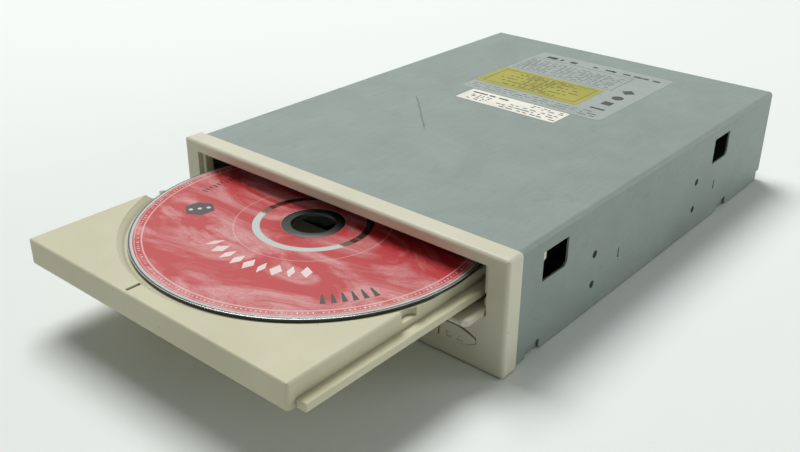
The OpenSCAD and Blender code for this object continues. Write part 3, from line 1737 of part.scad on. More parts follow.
// Four-way supply socket with two corners cut so that the plug goes in one way
module power_connector() {
    corner = power_corner;
    color([0.93, 0.92, 0.86])
    difference() {
        block([power_x - power_w / 2, power_x + power_w / 2], [rear_face_y - power_d, rear_face_y],
            [board_top, board_top + power_h]);
        along_y(rear_face_y - power_d + 2 * shell_t, power_d)
            polygon([
                [power_x - power_w / 2 + shell_t, board_top + shell_t],
                [power_x + power_w / 2 - shell_t, board_top + shell_t],
                [power_x + power_w / 2 - shell_t, board_top + power_h - shell_t - corner],
                [power_x + power_w / 2 - shell_t - corner, board_top + power_h - shell_t],
                [power_x - power_w / 2 + shell_t + corner, board_top + power_h - shell_t],
                [power_x - power_w / 2 + shell_t, board_top + power_h - shell_t - corner]
            ]);
        pin_holes(power_x, 4, 1, power_pitch, power_pin_r, power_h, power_d);
    }
}

module audio_connector() {
    color([0.9, 0.9, 0.87])
    difference() {
        header_shell(audio_x, audio_w, audio_h, audio_d, audio_key_w);
        pin_holes(audio_x, audio_pins, 1, pin_pitch, pin_r, audio_h, audio_d);
    }
}

module jumper_block() {
    w = jumper_cols * pin_pitch;
    h = 2 * pin_pitch;
    color([0.12, 0.12, 0.13])
    difference() {
        block([jumper_x - w / 2, jumper_x + w / 2], [rear_face_y - jumper_d, rear_face_y - jumper_d + 2 * shell_t],
            [board_top, board_top + h + jumper_roof]);
        pin_holes(jumper_x, jumper_cols, 2, pin_pitch, pin_r, h + jumper_roof, jumper_d);
    }
}

module connector_pins() {
    color([0.85, 0.75, 0.4])
    union() {
        header_pins(data_x, 20, 2, pin_pitch, pin_r, data_h, data_d);
        header_pins(power_x, 4, 1, power_pitch, power_pin_r, power_h, power_d);
        header_pins(audio_x, audio_pins, 1, pin_pitch, pin_r, audio_h, audio_d);
        header_pins(jumper_x, jumper_cols, 2, pin_pitch, pin_r, 2 * pin_pitch + jumper_roof, jumper_d);
    }
}

// One node, or all of them, as the value of node says
module part(name) {
    children();
}

part("top_cover") top_cover();
part("bottom_cover") bottom_cover();
part("front_bezel") front_bezel();
part("dust_door") dust_door();
part("tray") tray();
part("disc") disc();
part("eject_button") eject_button();
part("play_button") play_button();
part("volume_wheel") volume_wheel();
part("volume_control") volume_control();
part("headphone_jack") headphone_jack();
part("indicator_lens") indicator_lens();
part("front_board") front_board();
part("button_switches") button_switches();
part("loader_frame") loader_frame();
part("loading_motor") loading_motor();
part("motor_pulley") motor_pulley();
part("drive_belt") drive_belt();
part("pulley_gear") pulley_gear();
part("tray_gear") tray_gear();
part("cam_slider") cam_slider();
part("lift_frame") lift_frame();
part("rubber_dampers") rubber_dampers();
part("mechanism_plate") mechanism_plate();
part("spindle_motor") spindle_motor();
part("turntable") turntable();
part("guide_rods") guide_rods();
part("pickup_sled") pickup_sled();
part("objective_lens") objective_lens();
part("sled_gear") sled_gear();
part("sled_pinion") sled_pinion();
part("sled_motor") sled_motor();
part("damper_screws") damper_screws();
part("clamp_bridge") clamp_bridge();
part("clamper") clamper();
part("main_board") main_board();
part("board_chips") board_chips();
part("data_connector") data_connector();
part("power_connector") power_connector();
part("audio_connector") audio_connector();
part("jumper_block") jumper_block();
part("connector_pins") connector_pins();
part("cover_screws") cover_screws();
part("bridge_screws") bridge_screws();
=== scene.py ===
"""Disc drive with its tray part-way out: finishes, printed film and small parts round the CAD solids."""
import bmesh
import bpy
import math
from mathutils import Matrix, Vector


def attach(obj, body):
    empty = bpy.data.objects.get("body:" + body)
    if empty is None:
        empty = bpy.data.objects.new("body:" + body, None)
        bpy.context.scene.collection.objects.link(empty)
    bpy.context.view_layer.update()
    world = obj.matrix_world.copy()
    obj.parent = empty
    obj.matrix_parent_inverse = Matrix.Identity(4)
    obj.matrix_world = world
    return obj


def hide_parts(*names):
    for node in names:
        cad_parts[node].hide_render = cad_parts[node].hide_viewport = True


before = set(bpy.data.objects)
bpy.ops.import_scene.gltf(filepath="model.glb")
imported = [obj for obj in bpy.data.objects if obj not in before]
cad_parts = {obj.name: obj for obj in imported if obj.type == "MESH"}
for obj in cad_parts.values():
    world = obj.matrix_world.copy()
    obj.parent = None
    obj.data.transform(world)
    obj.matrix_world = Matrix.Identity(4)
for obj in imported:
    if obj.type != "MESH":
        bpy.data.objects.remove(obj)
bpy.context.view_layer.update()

# Top cover: one sheet of electro-galvanised steel, cold rolled, blanked and folded over the
# top and both sides. The zinc is matt and grey-green, with a faint run of the rolling
# direction and greasy smudges. The folds and the cut edges are brighter, partly from wear and
# partly as a painted highlight, and gaps and inner corners are darkened with painted shade.
MM = 0.001


def linear(hex_code):
    """A colour written as sRGB hex, turned to the linear values that the shader takes."""
    parts = [int(hex_code[i:i + 2], 16) / 255 for i in (1, 3, 5)]
    return tuple(c / 12.92 if c <= 0.04045 else ((c + 0.055) / 1.055) ** 2.4 for c in parts) + (1.0,)


def join(tree, node, links):
    """Fills a node's inputs: from a socket, from another node's first output, or with a value."""
    for key, value in links.items():
        if isinstance(value, bpy.types.Node):
            value = value.outputs[0]
        if isinstance(value, bpy.types.NodeSocket):
            tree.links.new(value, node.inputs[key])
        else:
            node.inputs[key].default_value = value


def put(tree, kind, links=None, **settings):
    """Adds a node with its settings and links."""
    node = tree.nodes.new(kind)
    for key, value in settings.items():
        setattr(node, key, value)
    join(tree, node, links or {})
    return node


def new_finish(name):
    """An empty node material, its surface shader and its place on the part."""
    finish = bpy.data.materials.new(name)
    finish.use_nodes = True
    tree = finish.node_tree
    tree.nodes.clear()
    shader = put(tree, "ShaderNodeBsdfPrincipled")
    put(tree, "ShaderNodeOutputMaterial", {"Surface": shader})
    place = put(tree, "ShaderNodeTexCoord").outputs["Object"]
    return finish, tree, shader, place


def dress(finish, *nodes):
    """Gives CAD nodes their finish."""
    for name in nodes:
        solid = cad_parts[name]
        for held in solid.material_slots:
            held.material = finish
        if not solid.material_slots:
            solid.data.materials.append(finish)


def rounded_edges(tree, radius):
    """Rounded shading normals, and how far each point stands out as an edge."""
    rounded = put(tree, "ShaderNodeBevel", {"Radius": radius}, samples=6)
    flat = put(tree, "ShaderNodeNewGeometry").outputs["Normal"]
    along = put(tree, "ShaderNodeVectorMath", {0: rounded, 1: flat}, operation="DOT_PRODUCT").outputs["Value"]
    # the two part by 6 degrees where an edge begins and by 30 where it is full, given as cosines
    edge = put(tree, "ShaderNodeMapRange", {"Value": along, "From Min": 0.995, "From Max": 0.86})
    return rounded, edge


def gap_dirt_and_painted_shade(tree, tone, rounded, reach, dirt_and_shade_tone, amount):
    """Painted shade, with some dirt: darkens gaps and inner corners narrower than the reach, as far as
    ambient occlusion finds them shut in.
    """
    open_sky = put(tree, "ShaderNodeAmbientOcclusion", {"Distance": reach, "Normal": rounded}, samples=8)
    gap_shade_share = put(tree, "ShaderNodeMapRange", {"Value": open_sky.outputs["AO"], "From Min": 0.3,
                                            "From Max": 0.85, "To Min": amount, "To Max": 0.0})
    return put(tree, "ShaderNodeMix", {0: gap_shade_share, 6: tone, 7: linear(dirt_and_shade_tone)}, data_type="RGBA").outputs[2]


def specks(tree, tone, place, scale, radius, left_out, dirt_and_shade_tone):
    """Specks of dirt, one to a cell at most; radius is a share of the cell's width."""
    cells = put(tree, "ShaderNodeTexVoronoi", {"Vector": place, "Scale": scale}).outputs
    # a speck holds six tenths of the dirt's colour over about its inner half, and fades to its rim
    near = put(tree, "ShaderNodeMapRange", {"Value": cells["Distance"], "From Min": radius * 0.55,
                                            "From Max": radius, "To Min": 0.6, "To Max": 0.0})
    chance = put(tree, "ShaderNodeSeparateColor", {0: cells["Color"]})
    chosen = put(tree, "ShaderNodeMath", {0: chance, 1: left_out}, operation="GREATER_THAN")
    speck = put(tree, "ShaderNodeMath", {0: near, 1: chosen}, operation="MULTIPLY")
    return put(tree, "ShaderNodeMix", {0: speck, 6: tone, 7: linear(dirt_and_shade_tone)}, data_type="RGBA").outputs[2]


def scratched(tree, tone, place, start, end):
    """A thin dark scratch, a little wavy, from one point of the top to another."""
    (ax, ay), (bx, by) = start, end
    length = math.hypot(bx - ax, by - ay)
    sway, fade, strength = 2.4 * MM, 4 * MM, 0.5
    line = put(tree, "ShaderNodeMapping", {"Vector": place, "Location": (ax, ay, 0),
                                           "Rotation": (0, 0, math.atan2(by - ay, bx - ax))},
               vector_type="TEXTURE")
    along, across, _ = put(tree, "ShaderNodeSeparateXYZ", {0: line}).outputs
    wave = put(tree, "ShaderNodeTexNoise", {"Vector": line, "Scale": 60.0, "Detail": 2.0})
    wave = put(tree, "ShaderNodeMath", {0: wave, 1: sway, 2: -sway / 2}, operation="MULTIPLY_ADD")
    off = put(tree, "ShaderNodeMath", {0: across, 1: wave}, operation="SUBTRACT")
    off = put(tree, "ShaderNodeMath", {0: off}, operation="ABSOLUTE")
    # full within 0.2 mm of its middle, gone at 0.5 mm, and fading in and out at its ends
    mark = put(tree, "ShaderNodeMapRange", {"Value": off, "From Min": 0.2 * MM, "From Max": 0.5 * MM,
                                            "To Min": 1.0, "To Max": 0.0})
    begun = put(tree, "ShaderNodeMapRange", {"Value": along, "From Min": 0.0, "From Max": fade})
    ended = put(tree, "ShaderNodeMapRange", {"Value": along, "From Min": length - fade, "From Max": length,
                                             "To Min": 1.0, "To Max": 0.0})
    for share in (begun, ended, strength):
        mark = put(tree, "ShaderNodeMath", {0: mark, 1: share}, operation="MULTIPLY")
    return put(tree, "ShaderNodeMix", {0: mark, 6: tone, 7: linear("#3f4644")}, data_type="RGBA").outputs[2]


def zinc_sheet(name, dark, light, bright, scratch=None):
    """Zinc-plated rolled sheet; scratch gives two ends of a line on the top."""
    # a pattern's scale is in cells to the metre, here and in every finish below
    finish, tree, shader, place = new_finish(name)
    # rolling lines 0.5 mm apart and 9 mm long: real ones are finer and wouldn't show
    rolled = put(tree, "ShaderNodeMapping", {"Vector": place, "Scale": (2000, 110, 2000)})
    grain = put(tree, "ShaderNodeTexNoise", {"Vector": rolled, "Scale": 1.0, "Detail": 3.0})
    # smudges some 25 mm across
    smudge = put(tree, "ShaderNodeTexNoise", {"Vector": place, "Scale": 40.0, "Detail": 5.0,
                                              "Roughness": 0.62, "Distortion": 0.8})
    cloud = put(tree, "ShaderNodeMapRange", {"Value": smudge, "From Min": 0.34, "From Max": 0.68})
    tone = put(tree, "ShaderNodeMix", {0: cloud, 6: linear(dark), 7: linear(light)},
               data_type="RGBA").outputs[2]
    # rubbed spots of up to 8 mm, only here and there
    spot = put(tree, "ShaderNodeTexNoise", {"Vector": place, "Scale": 120.0, "Detail": 4.0,
                                            "Roughness": 0.72, "Distortion": 1.2})
    rub = put(tree, "ShaderNodeMapRange", {"Value": spot, "From Min": 0.58, "From Max": 0.72})
    rub = put(tree, "ShaderNodeMath", {0: rub, 1: 0.3}, operation="MULTIPLY")
    tone = put(tree, "ShaderNodeMix", {0: rub, 6: tone, 7: linear("#6f7875")}, data_type="RGBA").outputs[2]
    # specks up to 0.7 mm wide; a cell of 9 mm seldom has its point at the surface, so few show
    tone = specks(tree, tone, place, 110.0, 0.04, 0.5, "#3b403d")
    # scuffs 28 mm long and 2.4 mm wide, turned a little from the rolling direction and lighter
    scuffed = put(tree, "ShaderNodeMapping", {"Vector": place, "Rotation": (0.35, 0, 0.2),
                                              "Scale": (420, 36, 420)})
    scuff = put(tree, "ShaderNodeTexNoise", {"Vector": scuffed, "Scale": 1.0, "Detail": 4.0,
                                             "Distortion": 0.6})
    scuff = put(tree, "ShaderNodeMapRange", {"Value": scuff, "From Min": 0.66, "From Max": 0.8,
                                             "To Max": 0.16})
    tone = put(tree, "ShaderNodeMix", {0: scuff, 6: tone, 7: linear(bright)}, data_type="RGBA").outputs[2]
    streak = put(tree, "ShaderNodeMapRange", {"Value": grain, "To Min": 0.9, "To Max": 1.1})
    tone = put(tree, "ShaderNodeVectorMath", {0: tone, 3: streak}, operation="SCALE")
    rounded, edge = rounded_edges(tree, 0.35 * MM)
    # folds and cut edges lightened: partly wear, partly a painted highlight
    edge_wear_and_highlight = put(tree, "ShaderNodeMath", {0: edge, 1: 0.75}, operation="MULTIPLY")
    tone = put(tree, "ShaderNodeMix", {0: edge_wear_and_highlight, 6: tone, 7: linear(bright)}, data_type="RGBA").outputs[2]
    # gaps and inner corners darkened: painted shade, with some dirt
    tone = gap_dirt_and_painted_shade(tree, tone, rounded, 0.8 * MM, "#2f3431", 0.6)
    if scratch:
        tone = scratched(tree, tone, place, *scratch)
    matt = put(tree, "ShaderNodeMapRange", {"Value": cloud, "To Min": 0.52, "To Max": 0.62})
    bump = put(tree, "ShaderNodeBump", {"Height": grain, "Strength": 0.18, "Distance": 0.03 * MM,
                                        "Normal": rounded})
    join(tree, shader, {"Base Color": tone, "Metallic": 0.15, "Roughness": matt, "Normal": bump})
    return finish


cover_zinc = zinc_sheet("electro_galvanised_steel_cold_rolled", "#828d88", "#8c9792", "#b0b8b4",
                        scratch=((-41.0 * MM, 2.9 * MM), (-12.2 * MM, -27.1 * MM)))
dress(cover_zinc, "top_cover")


# Labels on the cover: a sheet of silvered polyester film, a yellow panel printed on film that
# lies over it, and a white paper sticker in front of both. Each is die-cut, 0.05 to 0.1 mm
# thick, and stuck down flat. The print on them is rows of plain rules, with nothing to read.

# the front of the steel case, and the upper face of its cover
front_y = -87.025 * MM
roof = 41.3 * MM
# in mm over the cover: the upper faces of the three labels
silver_top, panel_top, sticker_top = 0.06, 0.12, 0.1
# in mm over what it is printed on: the upper face of a layer of ink, and the middle of a bar of ink
ink_height, ink_middle = 0.02, 0.01


def outline(corners, rounding, steps=6):
    """A flat closed outline, each of its corners rounded to its own radius."""
    ring = []
    for i, (here, radius) in enumerate(zip(corners, rounding)):
        here = Vector(here)
        before = (Vector(corners[i - 1]) - here).normalized()
        after = (Vector(corners[(i + 1) % len(corners)]) - here).normalized()
        half = before.angle(after) / 2
        centre = here + (before + after).normalized() * (radius / math.sin(half))
        first = here + before * (radius / math.tan(half)) - centre
        last = here + after * (radius / math.tan(half)) - centre
        turn = first.angle_signed(last)
        ring += [centre + Matrix.Rotation(-turn * k / steps, 2) @ first for k in range(steps + 1)]
    return ring


def new_object(name, data):
    """An object in the scene that holds a mesh, a lamp or a camera."""
    made = bpy.data.objects.new(name, data)
    bpy.context.scene.collection.objects.link(made)
    return made


def film(name, corners, rounding, low, high, finish, origin=(0, front_y, roof), body="case"):
    """A die-cut sheet lying flat between two heights, all in mm from its origin."""
    x0, y0, z0 = origin
    mesh = bpy.data.meshes.new(name)
    shape = bmesh.new()
    ring = [shape.verts.new((x0 + p.x * MM, y0 + p.y * MM, z0 + low * MM))
            for p in outline(corners, rounding)]
    face = shape.faces.new(ring)
    top = bmesh.ops.extrude_face_region(shape, geom=[face])["geom"]
    bmesh.ops.translate(shape, vec=(0, 0, (high - low) * MM),
                        verts=[part for part in top if isinstance(part, bmesh.types.BMVert)])
    bmesh.ops.recalc_face_normals(shape, faces=shape.faces)
    shape.to_mesh(mesh)
    shape.free()
    mesh.materials.append(finish)
    piece = new_object(name, mesh)
    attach(piece, body)


def printed_film(name, base, worn, metallic, roughness, coat):
    """Film, paper or ink: an even ground with faint handling marks and a slight waviness."""
    finish, tree, shader, place = new_finish(name)
    # handling marks 12 mm across
    rubbed = put(tree, "ShaderNodeTexNoise", {"Vector": place, "Scale": 85.0, "Detail": 4.0})
    rubbed = put(tree, "ShaderNodeMapRange", {"Value": rubbed, "From Min": 0.42, "From Max": 0.72})
    tone = put(tree, "ShaderNodeMix", {0: rubbed, 6: linear(base), 7: linear(worn)},
               data_type="RGBA").outputs[2]
    gloss = put(tree, "ShaderNodeMapRange", {"Value": rubbed, "To Min": roughness,
                                             "To Max": roughness + 0.12})
    # fibre or orange peel, 0.3 mm: drawn as coarse as it can show
    peel = put(tree, "ShaderNodeTexNoise", {"Vector": place, "Scale": 3300.0, "Detail": 2.0})
    bump = put(tree, "ShaderNodeBump", {"Height": peel, "Strength": 0.08, "Distance": 0.02 * MM})
    join(tree, shader, {"Base Color": tone, "Metallic": metallic, "Roughness": gloss, "Normal": bump,
                        "Coat Weight": coat, "Coat Roughness": 0.25})
    return finish


silver_film = printed_film("silvered_polyester_film_die_cut", "#9ca3a0", "#929a97", 0.3, 0.42, 0.2)
yellow_film = printed_film("yellow_screen_printed_film", "#a39d24", "#969020", 0.0, 0.5, 0.15)
white_paper = printed_film("white_coated_paper_thermal_printed", "#efede0", "#e2dfd2", 0.0, 0.62, 0.0)
grey_ink = printed_film("grey_screen_ink", "#5f6562", "#696f6c", 0.0, 0.55, 0.0)
olive_ink = printed_film("olive_screen_ink", "#5c562a", "#665f2f", 0.0, 0.55, 0.0)
black_ink = printed_film("black_thermal_print", "#363735", "#444542", 0.0, 0.6, 0.0)

# name, finish, edges (left, right, front, back) and corners in mm, then both faces over the cover
for name, finish, (left, right, front, back), rounding, low, high in (
        ("silver_label", silver_film, (-35, 34, 114, 181.5), [1.5, 3.5, 1.5, 1.5], 0, silver_top),
        ("yellow_panel", yellow_film, (-35, 17, 124.5, 149), [0.6] * 4, silver_top, panel_top),
        ("white_sticker", white_paper, (-27.5, 21.3, 100, 113.3), [0.8] * 4, 0, sticker_top)):
    film(name, [(left, front), (right, front), (right, back), (left, back)], rounding, low, high, finish)


def new_tree(name, inputs):
    """A Geometry Nodes tree with named inputs; gives the tree and its input sockets by name."""
    tree = bpy.data.node_groups.new(name, "GeometryNodeTree")
    for label, (kind, value) in inputs.items():
        held = tree.interface.new_socket(label, in_out="INPUT", socket_type=kind)
        if value is not None:
            held.default_value = value
    tree.interface.new_socket("Geometry", in_out="OUTPUT", socket_type="NodeSocketGeometry")
    return tree, put(tree, "NodeGroupInput").outputs


def close_tree(tree, given, instances):
    """Ends a tree: instances made real, moved to their place and given their finish."""
    solid = put(tree, "GeometryNodeRealizeInstances", {0: instances})
    moved = put(tree, "GeometryNodeTransform", {"Geometry": solid, "Translation": given["Place"]})
    coated = put(tree, "GeometryNodeSetMaterial", {"Geometry": moved, "Material": given["Finish"]})
    put(tree, "NodeGroupOutput", {0: coated})


def made_by(tree, name, finish, body, sizes):
    """Runs a tree with these sizes and keeps what it makes as a plain mesh that rides on a body."""
    carrier = new_object(name + "_carrier", bpy.data.meshes.new(name + "_carrier"))
    shape = carrier.modifiers.new("shape", "NODES")
    shape.node_group = tree
    sizes["Finish"] = finish
    for item in tree.interface.items_tree:
        if item.item_type == "SOCKET" and item.in_out == "INPUT" and item.name in sizes:
            shape[item.identifier] = sizes[item.name]
    graph = bpy.context.evaluated_depsgraph_get()
    mesh = bpy.data.meshes.new_from_object(carrier.evaluated_get(graph), depsgraph=graph)
    bpy.data.objects.remove(carrier)
    mesh.name = name
    piece = new_object(name, mesh)
    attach(piece, body)


# rows of printed dashes: a grid of points, thinned at random, with a thin bar on each
rules, given = new_tree("rows_of_rules", {
    "Place": ("NodeSocketVector", (0, 0, 0)), "Width": ("NodeSocketFloat", 0.03),
    "Depth": ("NodeSocketFloat", 0.01), "Columns": ("NodeSocketInt", 12), "Rows": ("NodeSocketInt", 4),
    "Bar Length": ("NodeSocketFloat", 0.002), "Bar Height": ("NodeSocketFloat", 0.0004),
    "Ink": ("NodeSocketFloat", 0.00003), "Share Left Out": ("NodeSocketFloat", 0.2),
    "Wander": ("NodeSocketFloat", 0.0005), "Ragged": ("NodeSocketFloat", 0.0),
    "Seed": ("NodeSocketInt", 3), "Finish": ("NodeSocketMaterial", None)})
grid = put(rules, "GeometryNodeMeshGrid", {"Size X": given["Width"], "Size Y": given["Depth"],
                                           "Vertices X": given["Columns"], "Vertices Y": given["Rows"]})
chance = put(rules, "FunctionNodeRandomValue", {"Probability": given["Share Left Out"],
                                                "Seed": given["Seed"]}, data_type="BOOLEAN").outputs[3]
kept = put(rules, "GeometryNodeDeleteGeometry", {"Geometry": grid, "Selection": chance})
# ragged rows: each keeps its middle and loses a share of both ends, more or less in waves of 3.3 mm
across, upward, _ = put(rules, "ShaderNodeSeparateXYZ", {0: put(rules, "GeometryNodeInputPosition")}).outputs
sway = put(rules, "ShaderNodeMath", {0: upward, 1: 1900.0}, operation="MULTIPLY")
sway = put(rules, "ShaderNodeMath", {0: sway}, operation="SINE")
drop = put(rules, "ShaderNodeMath", {0: sway, 1: 0.5, 2: 0.5}, operation="MULTIPLY_ADD")
drop = put(rules, "ShaderNodeMath", {0: drop, 1: given["Ragged"]}, operation="MULTIPLY")
# a hundredth over the whole, so that an even row keeps its outermost bars
share = put(rules, "ShaderNodeMath", {0: 1.01, 1: drop}, operation="SUBTRACT")
half = put(rules, "ShaderNodeMath", {0: given["Width"], 1: 0.5}, operation="MULTIPLY")
limit = put(rules, "ShaderNodeMath", {0: half, 1: share}, operation="MULTIPLY")
off_middle = put(rules, "ShaderNodeMath", {0: across}, operation="ABSOLUTE")
past = put(rules, "FunctionNodeCompare", {0: off_middle, 1: limit}, operation="GREATER_THAN")
kept = put(rules, "GeometryNodeDeleteGeometry", {"Geometry": kept, "Selection": past})
# each bar wanders a little along its row, and has its own length
least = put(rules, "ShaderNodeMath", {0: given["Wander"], 1: -1.0}, operation="MULTIPLY")
least = put(rules, "ShaderNodeCombineXYZ", {0: least})
most = put(rules, "ShaderNodeCombineXYZ", {0: given["Wander"]})
shift = put(rules, "FunctionNodeRandomValue", {0: least, 1: most, "Seed": given["Seed"]},
            data_type="FLOAT_VECTOR")
kept = put(rules, "GeometryNodeSetPosition", {"Geometry": kept, "Offset": shift})
bar = put(rules, "ShaderNodeCombineXYZ", {0: given["Bar Length"], 1: given["Bar Height"], 2: given["Ink"]})
bar = put(rules, "GeometryNodeMeshCube", {"Size": bar})
stretch = put(rules, "FunctionNodeRandomValue",
              {0: (0.4, 0.85, 1.0), 1: (1.15, 1.0, 1.0), "Seed": given["Seed"]}, data_type="FLOAT_VECTOR")
bars = put(rules, "GeometryNodeInstanceOnPoints", {"Points": kept, "Instance": bar, "Scale": stretch})
close_tree(rules, given, bars)

prints = [
    # name, ink, middle (across, from the case's front), the face it is printed on, width and depth of
    # the block, all in mm; columns, rows, a bar's height in mm, and the share of bars left out
    ("label_heading", black_ink, 13, 176, silver_top, 30, 0, 7, 1, 1.9, 0.1),
    ("label_subheading", black_ink, -22, 175.8, silver_top, 13, 0, 4, 1, 3.0, 0.0),
    ("label_text", grey_ink, -8.5, 161, silver_top, 46, 15, 17, 9, 0.62, 0.06),
    ("label_foot", grey_ink, -7, 119.3, silver_top, 50, 4.6, 21, 3, 0.6, 0.12),
    ("label_corner", black_ink, 26, 119.5, silver_top, 6, 4.8, 3, 3, 0.6, 0.1),
    ("panel_text", olive_ink, -9, 136.8, panel_top, 37, 16.4, 15, 10, 0.95, 0.02),
    ("sticker_text", black_ink, 5, 104.4, sticker_top, 27, 4.6, 10, 3, 0.8, 0.18),
    ("sticker_heading", black_ink, -15.5, 110.2, sticker_top, 18, 0, 5, 1, 1.3, 0.0),
    ("sticker_dots", black_ink, -18.5, 104.9, sticker_top, 9, 5, 6, 4, 0.8, 0.35),
    ("sticker_note", black_ink, 12, 110.6, sticker_top, 13, 1.6, 6, 2, 0.7, 0.1),
]
# a bar's usual length and its wander as shares of the pitch, and the share that the panel's rows lose
length_share, wander_share, ragged_share = 0.86, 0.32, 0.62
least_depth, first_seed = 0.01, 5
for seed, (name, ink, x, y, top, width, depth, columns, rows, height, left_out) in enumerate(
        prints, first_seed):
    pitch = width / (columns - 1)
    made_by(rules, name, ink, "case", {
        "Place": (x * MM, front_y + y * MM, roof + (top + ink_middle) * MM), "Width": width * MM,
        "Depth": max(depth, least_depth) * MM, "Columns": columns, "Rows": rows, "Seed": seed,
        "Bar Length": pitch * length_share * MM, "Bar Height": height * MM, "Share Left Out": left_out,
        "Wander": pitch * wander_share * MM, "Ragged": ragged_share if name == "panel_text" else 0.0})


def frame_line(name, left, right, front, back, width, low, ink):
    """A printed frame: four thin strips of ink round a field, in mm."""
    strips = ((left, right, front, front + width), (left, right, back - width, back),
              (left, left + width, front + width, back - width),
              (right - width, right, front + width, back - width))
    for number, (a, b, c, d) in enumerate(strips, 1):
        film("%s_%d" % (name, number), [(a, c), (b, c), (b, d), (a, d)], [0.04] * 4,
             low, low + ink_height, ink)


frame_line("panel_frame", -32.6, 14.6, 126.8, 146.8, 0.35, panel_top, olive_ink)
frame_line("label_frame", -33.2, 18.6, 151.2, 172.6, 0.3, silver_top, grey_ink)


def round_shape(radius, count):
    """Corners of a regular shape about its middle."""
    angles = [2 * math.pi * k / count for k in range(count)]
    return [(radius * math.cos(a), radius * math.sin(a)) for a in angles]


# plain shapes in the label's margin: a lozenge, a disc, a square and a bar
for name, corners in (("margin_lozenge", [(26, 150.5), (29.2, 153.6), (26, 156.7), (22.8, 153.6)]),
                      ("margin_round", [(26 + x, 144 + y) for x, y in round_shape(2.6, 20)]),
                      ("margin_square", [(23.8, 133), (28.2, 133), (28.2, 137.4), (23.8, 137.4)]),
                      ("margin_bar", [(22.6, 126), (29.4, 126), (29.4, 127.6), (22.6, 127.6)])):
    film(name, corners, [0.1] * len(corners), silver_top, silver_top + ink_height, black_ink)


# Base: a shallow pan of the same sheet, a little thicker, with side flanges behind the cover's
# sides, and bosses that carry the boards. Four countersunk steel screws with a cross recess
# hold it to the loader; two more with pan heads hold the clamp's bridge.
base_zinc = zinc_sheet("electro_galvanised_steel_pressed_pan", "#7f8a85", "#88938e", "#acb4b0")
dress(base_zinc, "bottom_cover", "clamp_bridge")


def bright_metal(name, tone, streaks, roughness):
    """Bright metal, turned, drawn or plated: fine lines round or along it."""
    finish, tree, shader, place = new_finish(name)
    lines = put(tree, "ShaderNodeMapping", {"Vector": place, "Scale": streaks})
    fine = put(tree, "ShaderNodeTexNoise", {"Vector": lines, "Scale": 1.0, "Detail": 3.0})
    shade = put(tree, "ShaderNodeMapRange", {"Value": fine, "To Min": 0.9, "To Max": 1.08})
    tinted = put(tree, "ShaderNodeVectorMath", {0: linear(tone)[:3], 3: shade}, operation="SCALE")
    rounded, _ = rounded_edges(tree, 0.15 * MM)
    bump = put(tree, "ShaderNodeBump", {"Height": fine, "Strength": 0.15, "Distance": 0.02 * MM,
                                        "Normal": rounded})
    join(tree, shader, {"Base Color": tinted, "Metallic": 1.0, "Roughness": roughness, "Normal": bump})
    return finish


screw_steel = bright_metal("zinc_plated_steel_cold_headed", "#b9bcb8", (900, 900, 4000), 0.34)
dress(screw_steel, "cover_screws", "bridge_screws", "damper_screws")


# Bezel, flap, buttons and volume wheel: injection-moulded ABS in computer beige, with the fine
# spark-eroded grain of the tool. It is matt, a touch greener than ivory, slightly lighter where
# hands have rubbed its edges and a little greyer in broad patches.


# the tone given for dirt also paints shade into gaps and inner corners
def moulded(name, base, patch, edge_tone, grain_mm=0.35, roughness=0.48, bump_depth=0.25,
            dirt_and_shade_tone="#4d4a3d", speckled=False, metallic=0.0):
    """Moulded or die-cast stuff: grain from the tool, soft patches and rubbed edges."""
    finish, tree, shader, place = new_finish(name)
    # the grain is 0.1 mm or finer; it is drawn coarser so that it shows
    grain = put(tree, "ShaderNodeTexNoise", {"Vector": place, "Scale": 1.0 / (grain_mm * MM), "Detail": 3.0,
                                             "Roughness": 0.6})
    # patches 30 mm across
    soft = put(tree, "ShaderNodeTexNoise", {"Vector": place, "Scale": 32.0, "Detail": 4.0,
                                            "Distortion": 0.5})
    soft = put(tree, "ShaderNodeMapRange", {"Value": soft, "From Min": 0.38, "From Max": 0.66})
    tone = put(tree, "ShaderNodeMix", {0: soft, 6: linear(base), 7: linear(patch)},
               data_type="RGBA").outputs[2]
    rounded, edge = rounded_edges(tree, 0.3 * MM)
    rub = put(tree, "ShaderNodeMath", {0: edge, 1: 0.5}, operation="MULTIPLY")
    tone = put(tree, "ShaderNodeMix", {0: rub, 6: tone, 7: linear(edge_tone)}, data_type="RGBA").outputs[2]
    # gaps and inner corners darkened: painted shade, with some dirt
    tone = gap_dirt_and_painted_shade(tree, tone, rounded, 0.9 * MM, dirt_and_shade_tone, 0.75)
    if speckled:
        # dust and ink spots up to 0.6 mm wide
        tone = specks(tree, tone, place, 130.0, 0.038, 0.45, "#57503f")
    fleck = put(tree, "ShaderNodeMapRange", {"Value": grain, "To Min": 0.975, "To Max": 1.025})
    tone = put(tree, "ShaderNodeVectorMath", {0: tone, 3: fleck}, operation="SCALE")
    gloss = put(tree, "ShaderNodeMapRange", {"Value": edge, "To Min": roughness, "To Max": roughness - 0.1})
    bump = put(tree, "ShaderNodeBump", {"Height": grain, "Strength": bump_depth, "Distance": 0.03 * MM,
                                        "Normal": rounded})
    join(tree, shader, {"Base Color": tone, "Metallic": metallic, "Roughness": gloss, "Normal": bump})
    return finish


bezel_abs = moulded("beige_abs_injection_moulded", "#d6d3bd", "#cfccb5", "#dedbc8", speckled=True)
dress(bezel_abs, "front_bezel", "dust_door", "eject_button", "play_button", "volume_wheel")


# Tray: one ABS moulding, sun-yellowed a little more than the bezel, with a smoother, slightly
# glossier deck, and runners at its sides that slide in the loader's channels.
tray_abs = moulded("yellowed_abs_tray_injection_moulded", "#cdc9ab", "#c5c1a2", "#d5d2b8",
                   grain_mm=0.28, roughness=0.42, bump_depth=0.18, speckled=True)
dress(tray_abs, "tray")


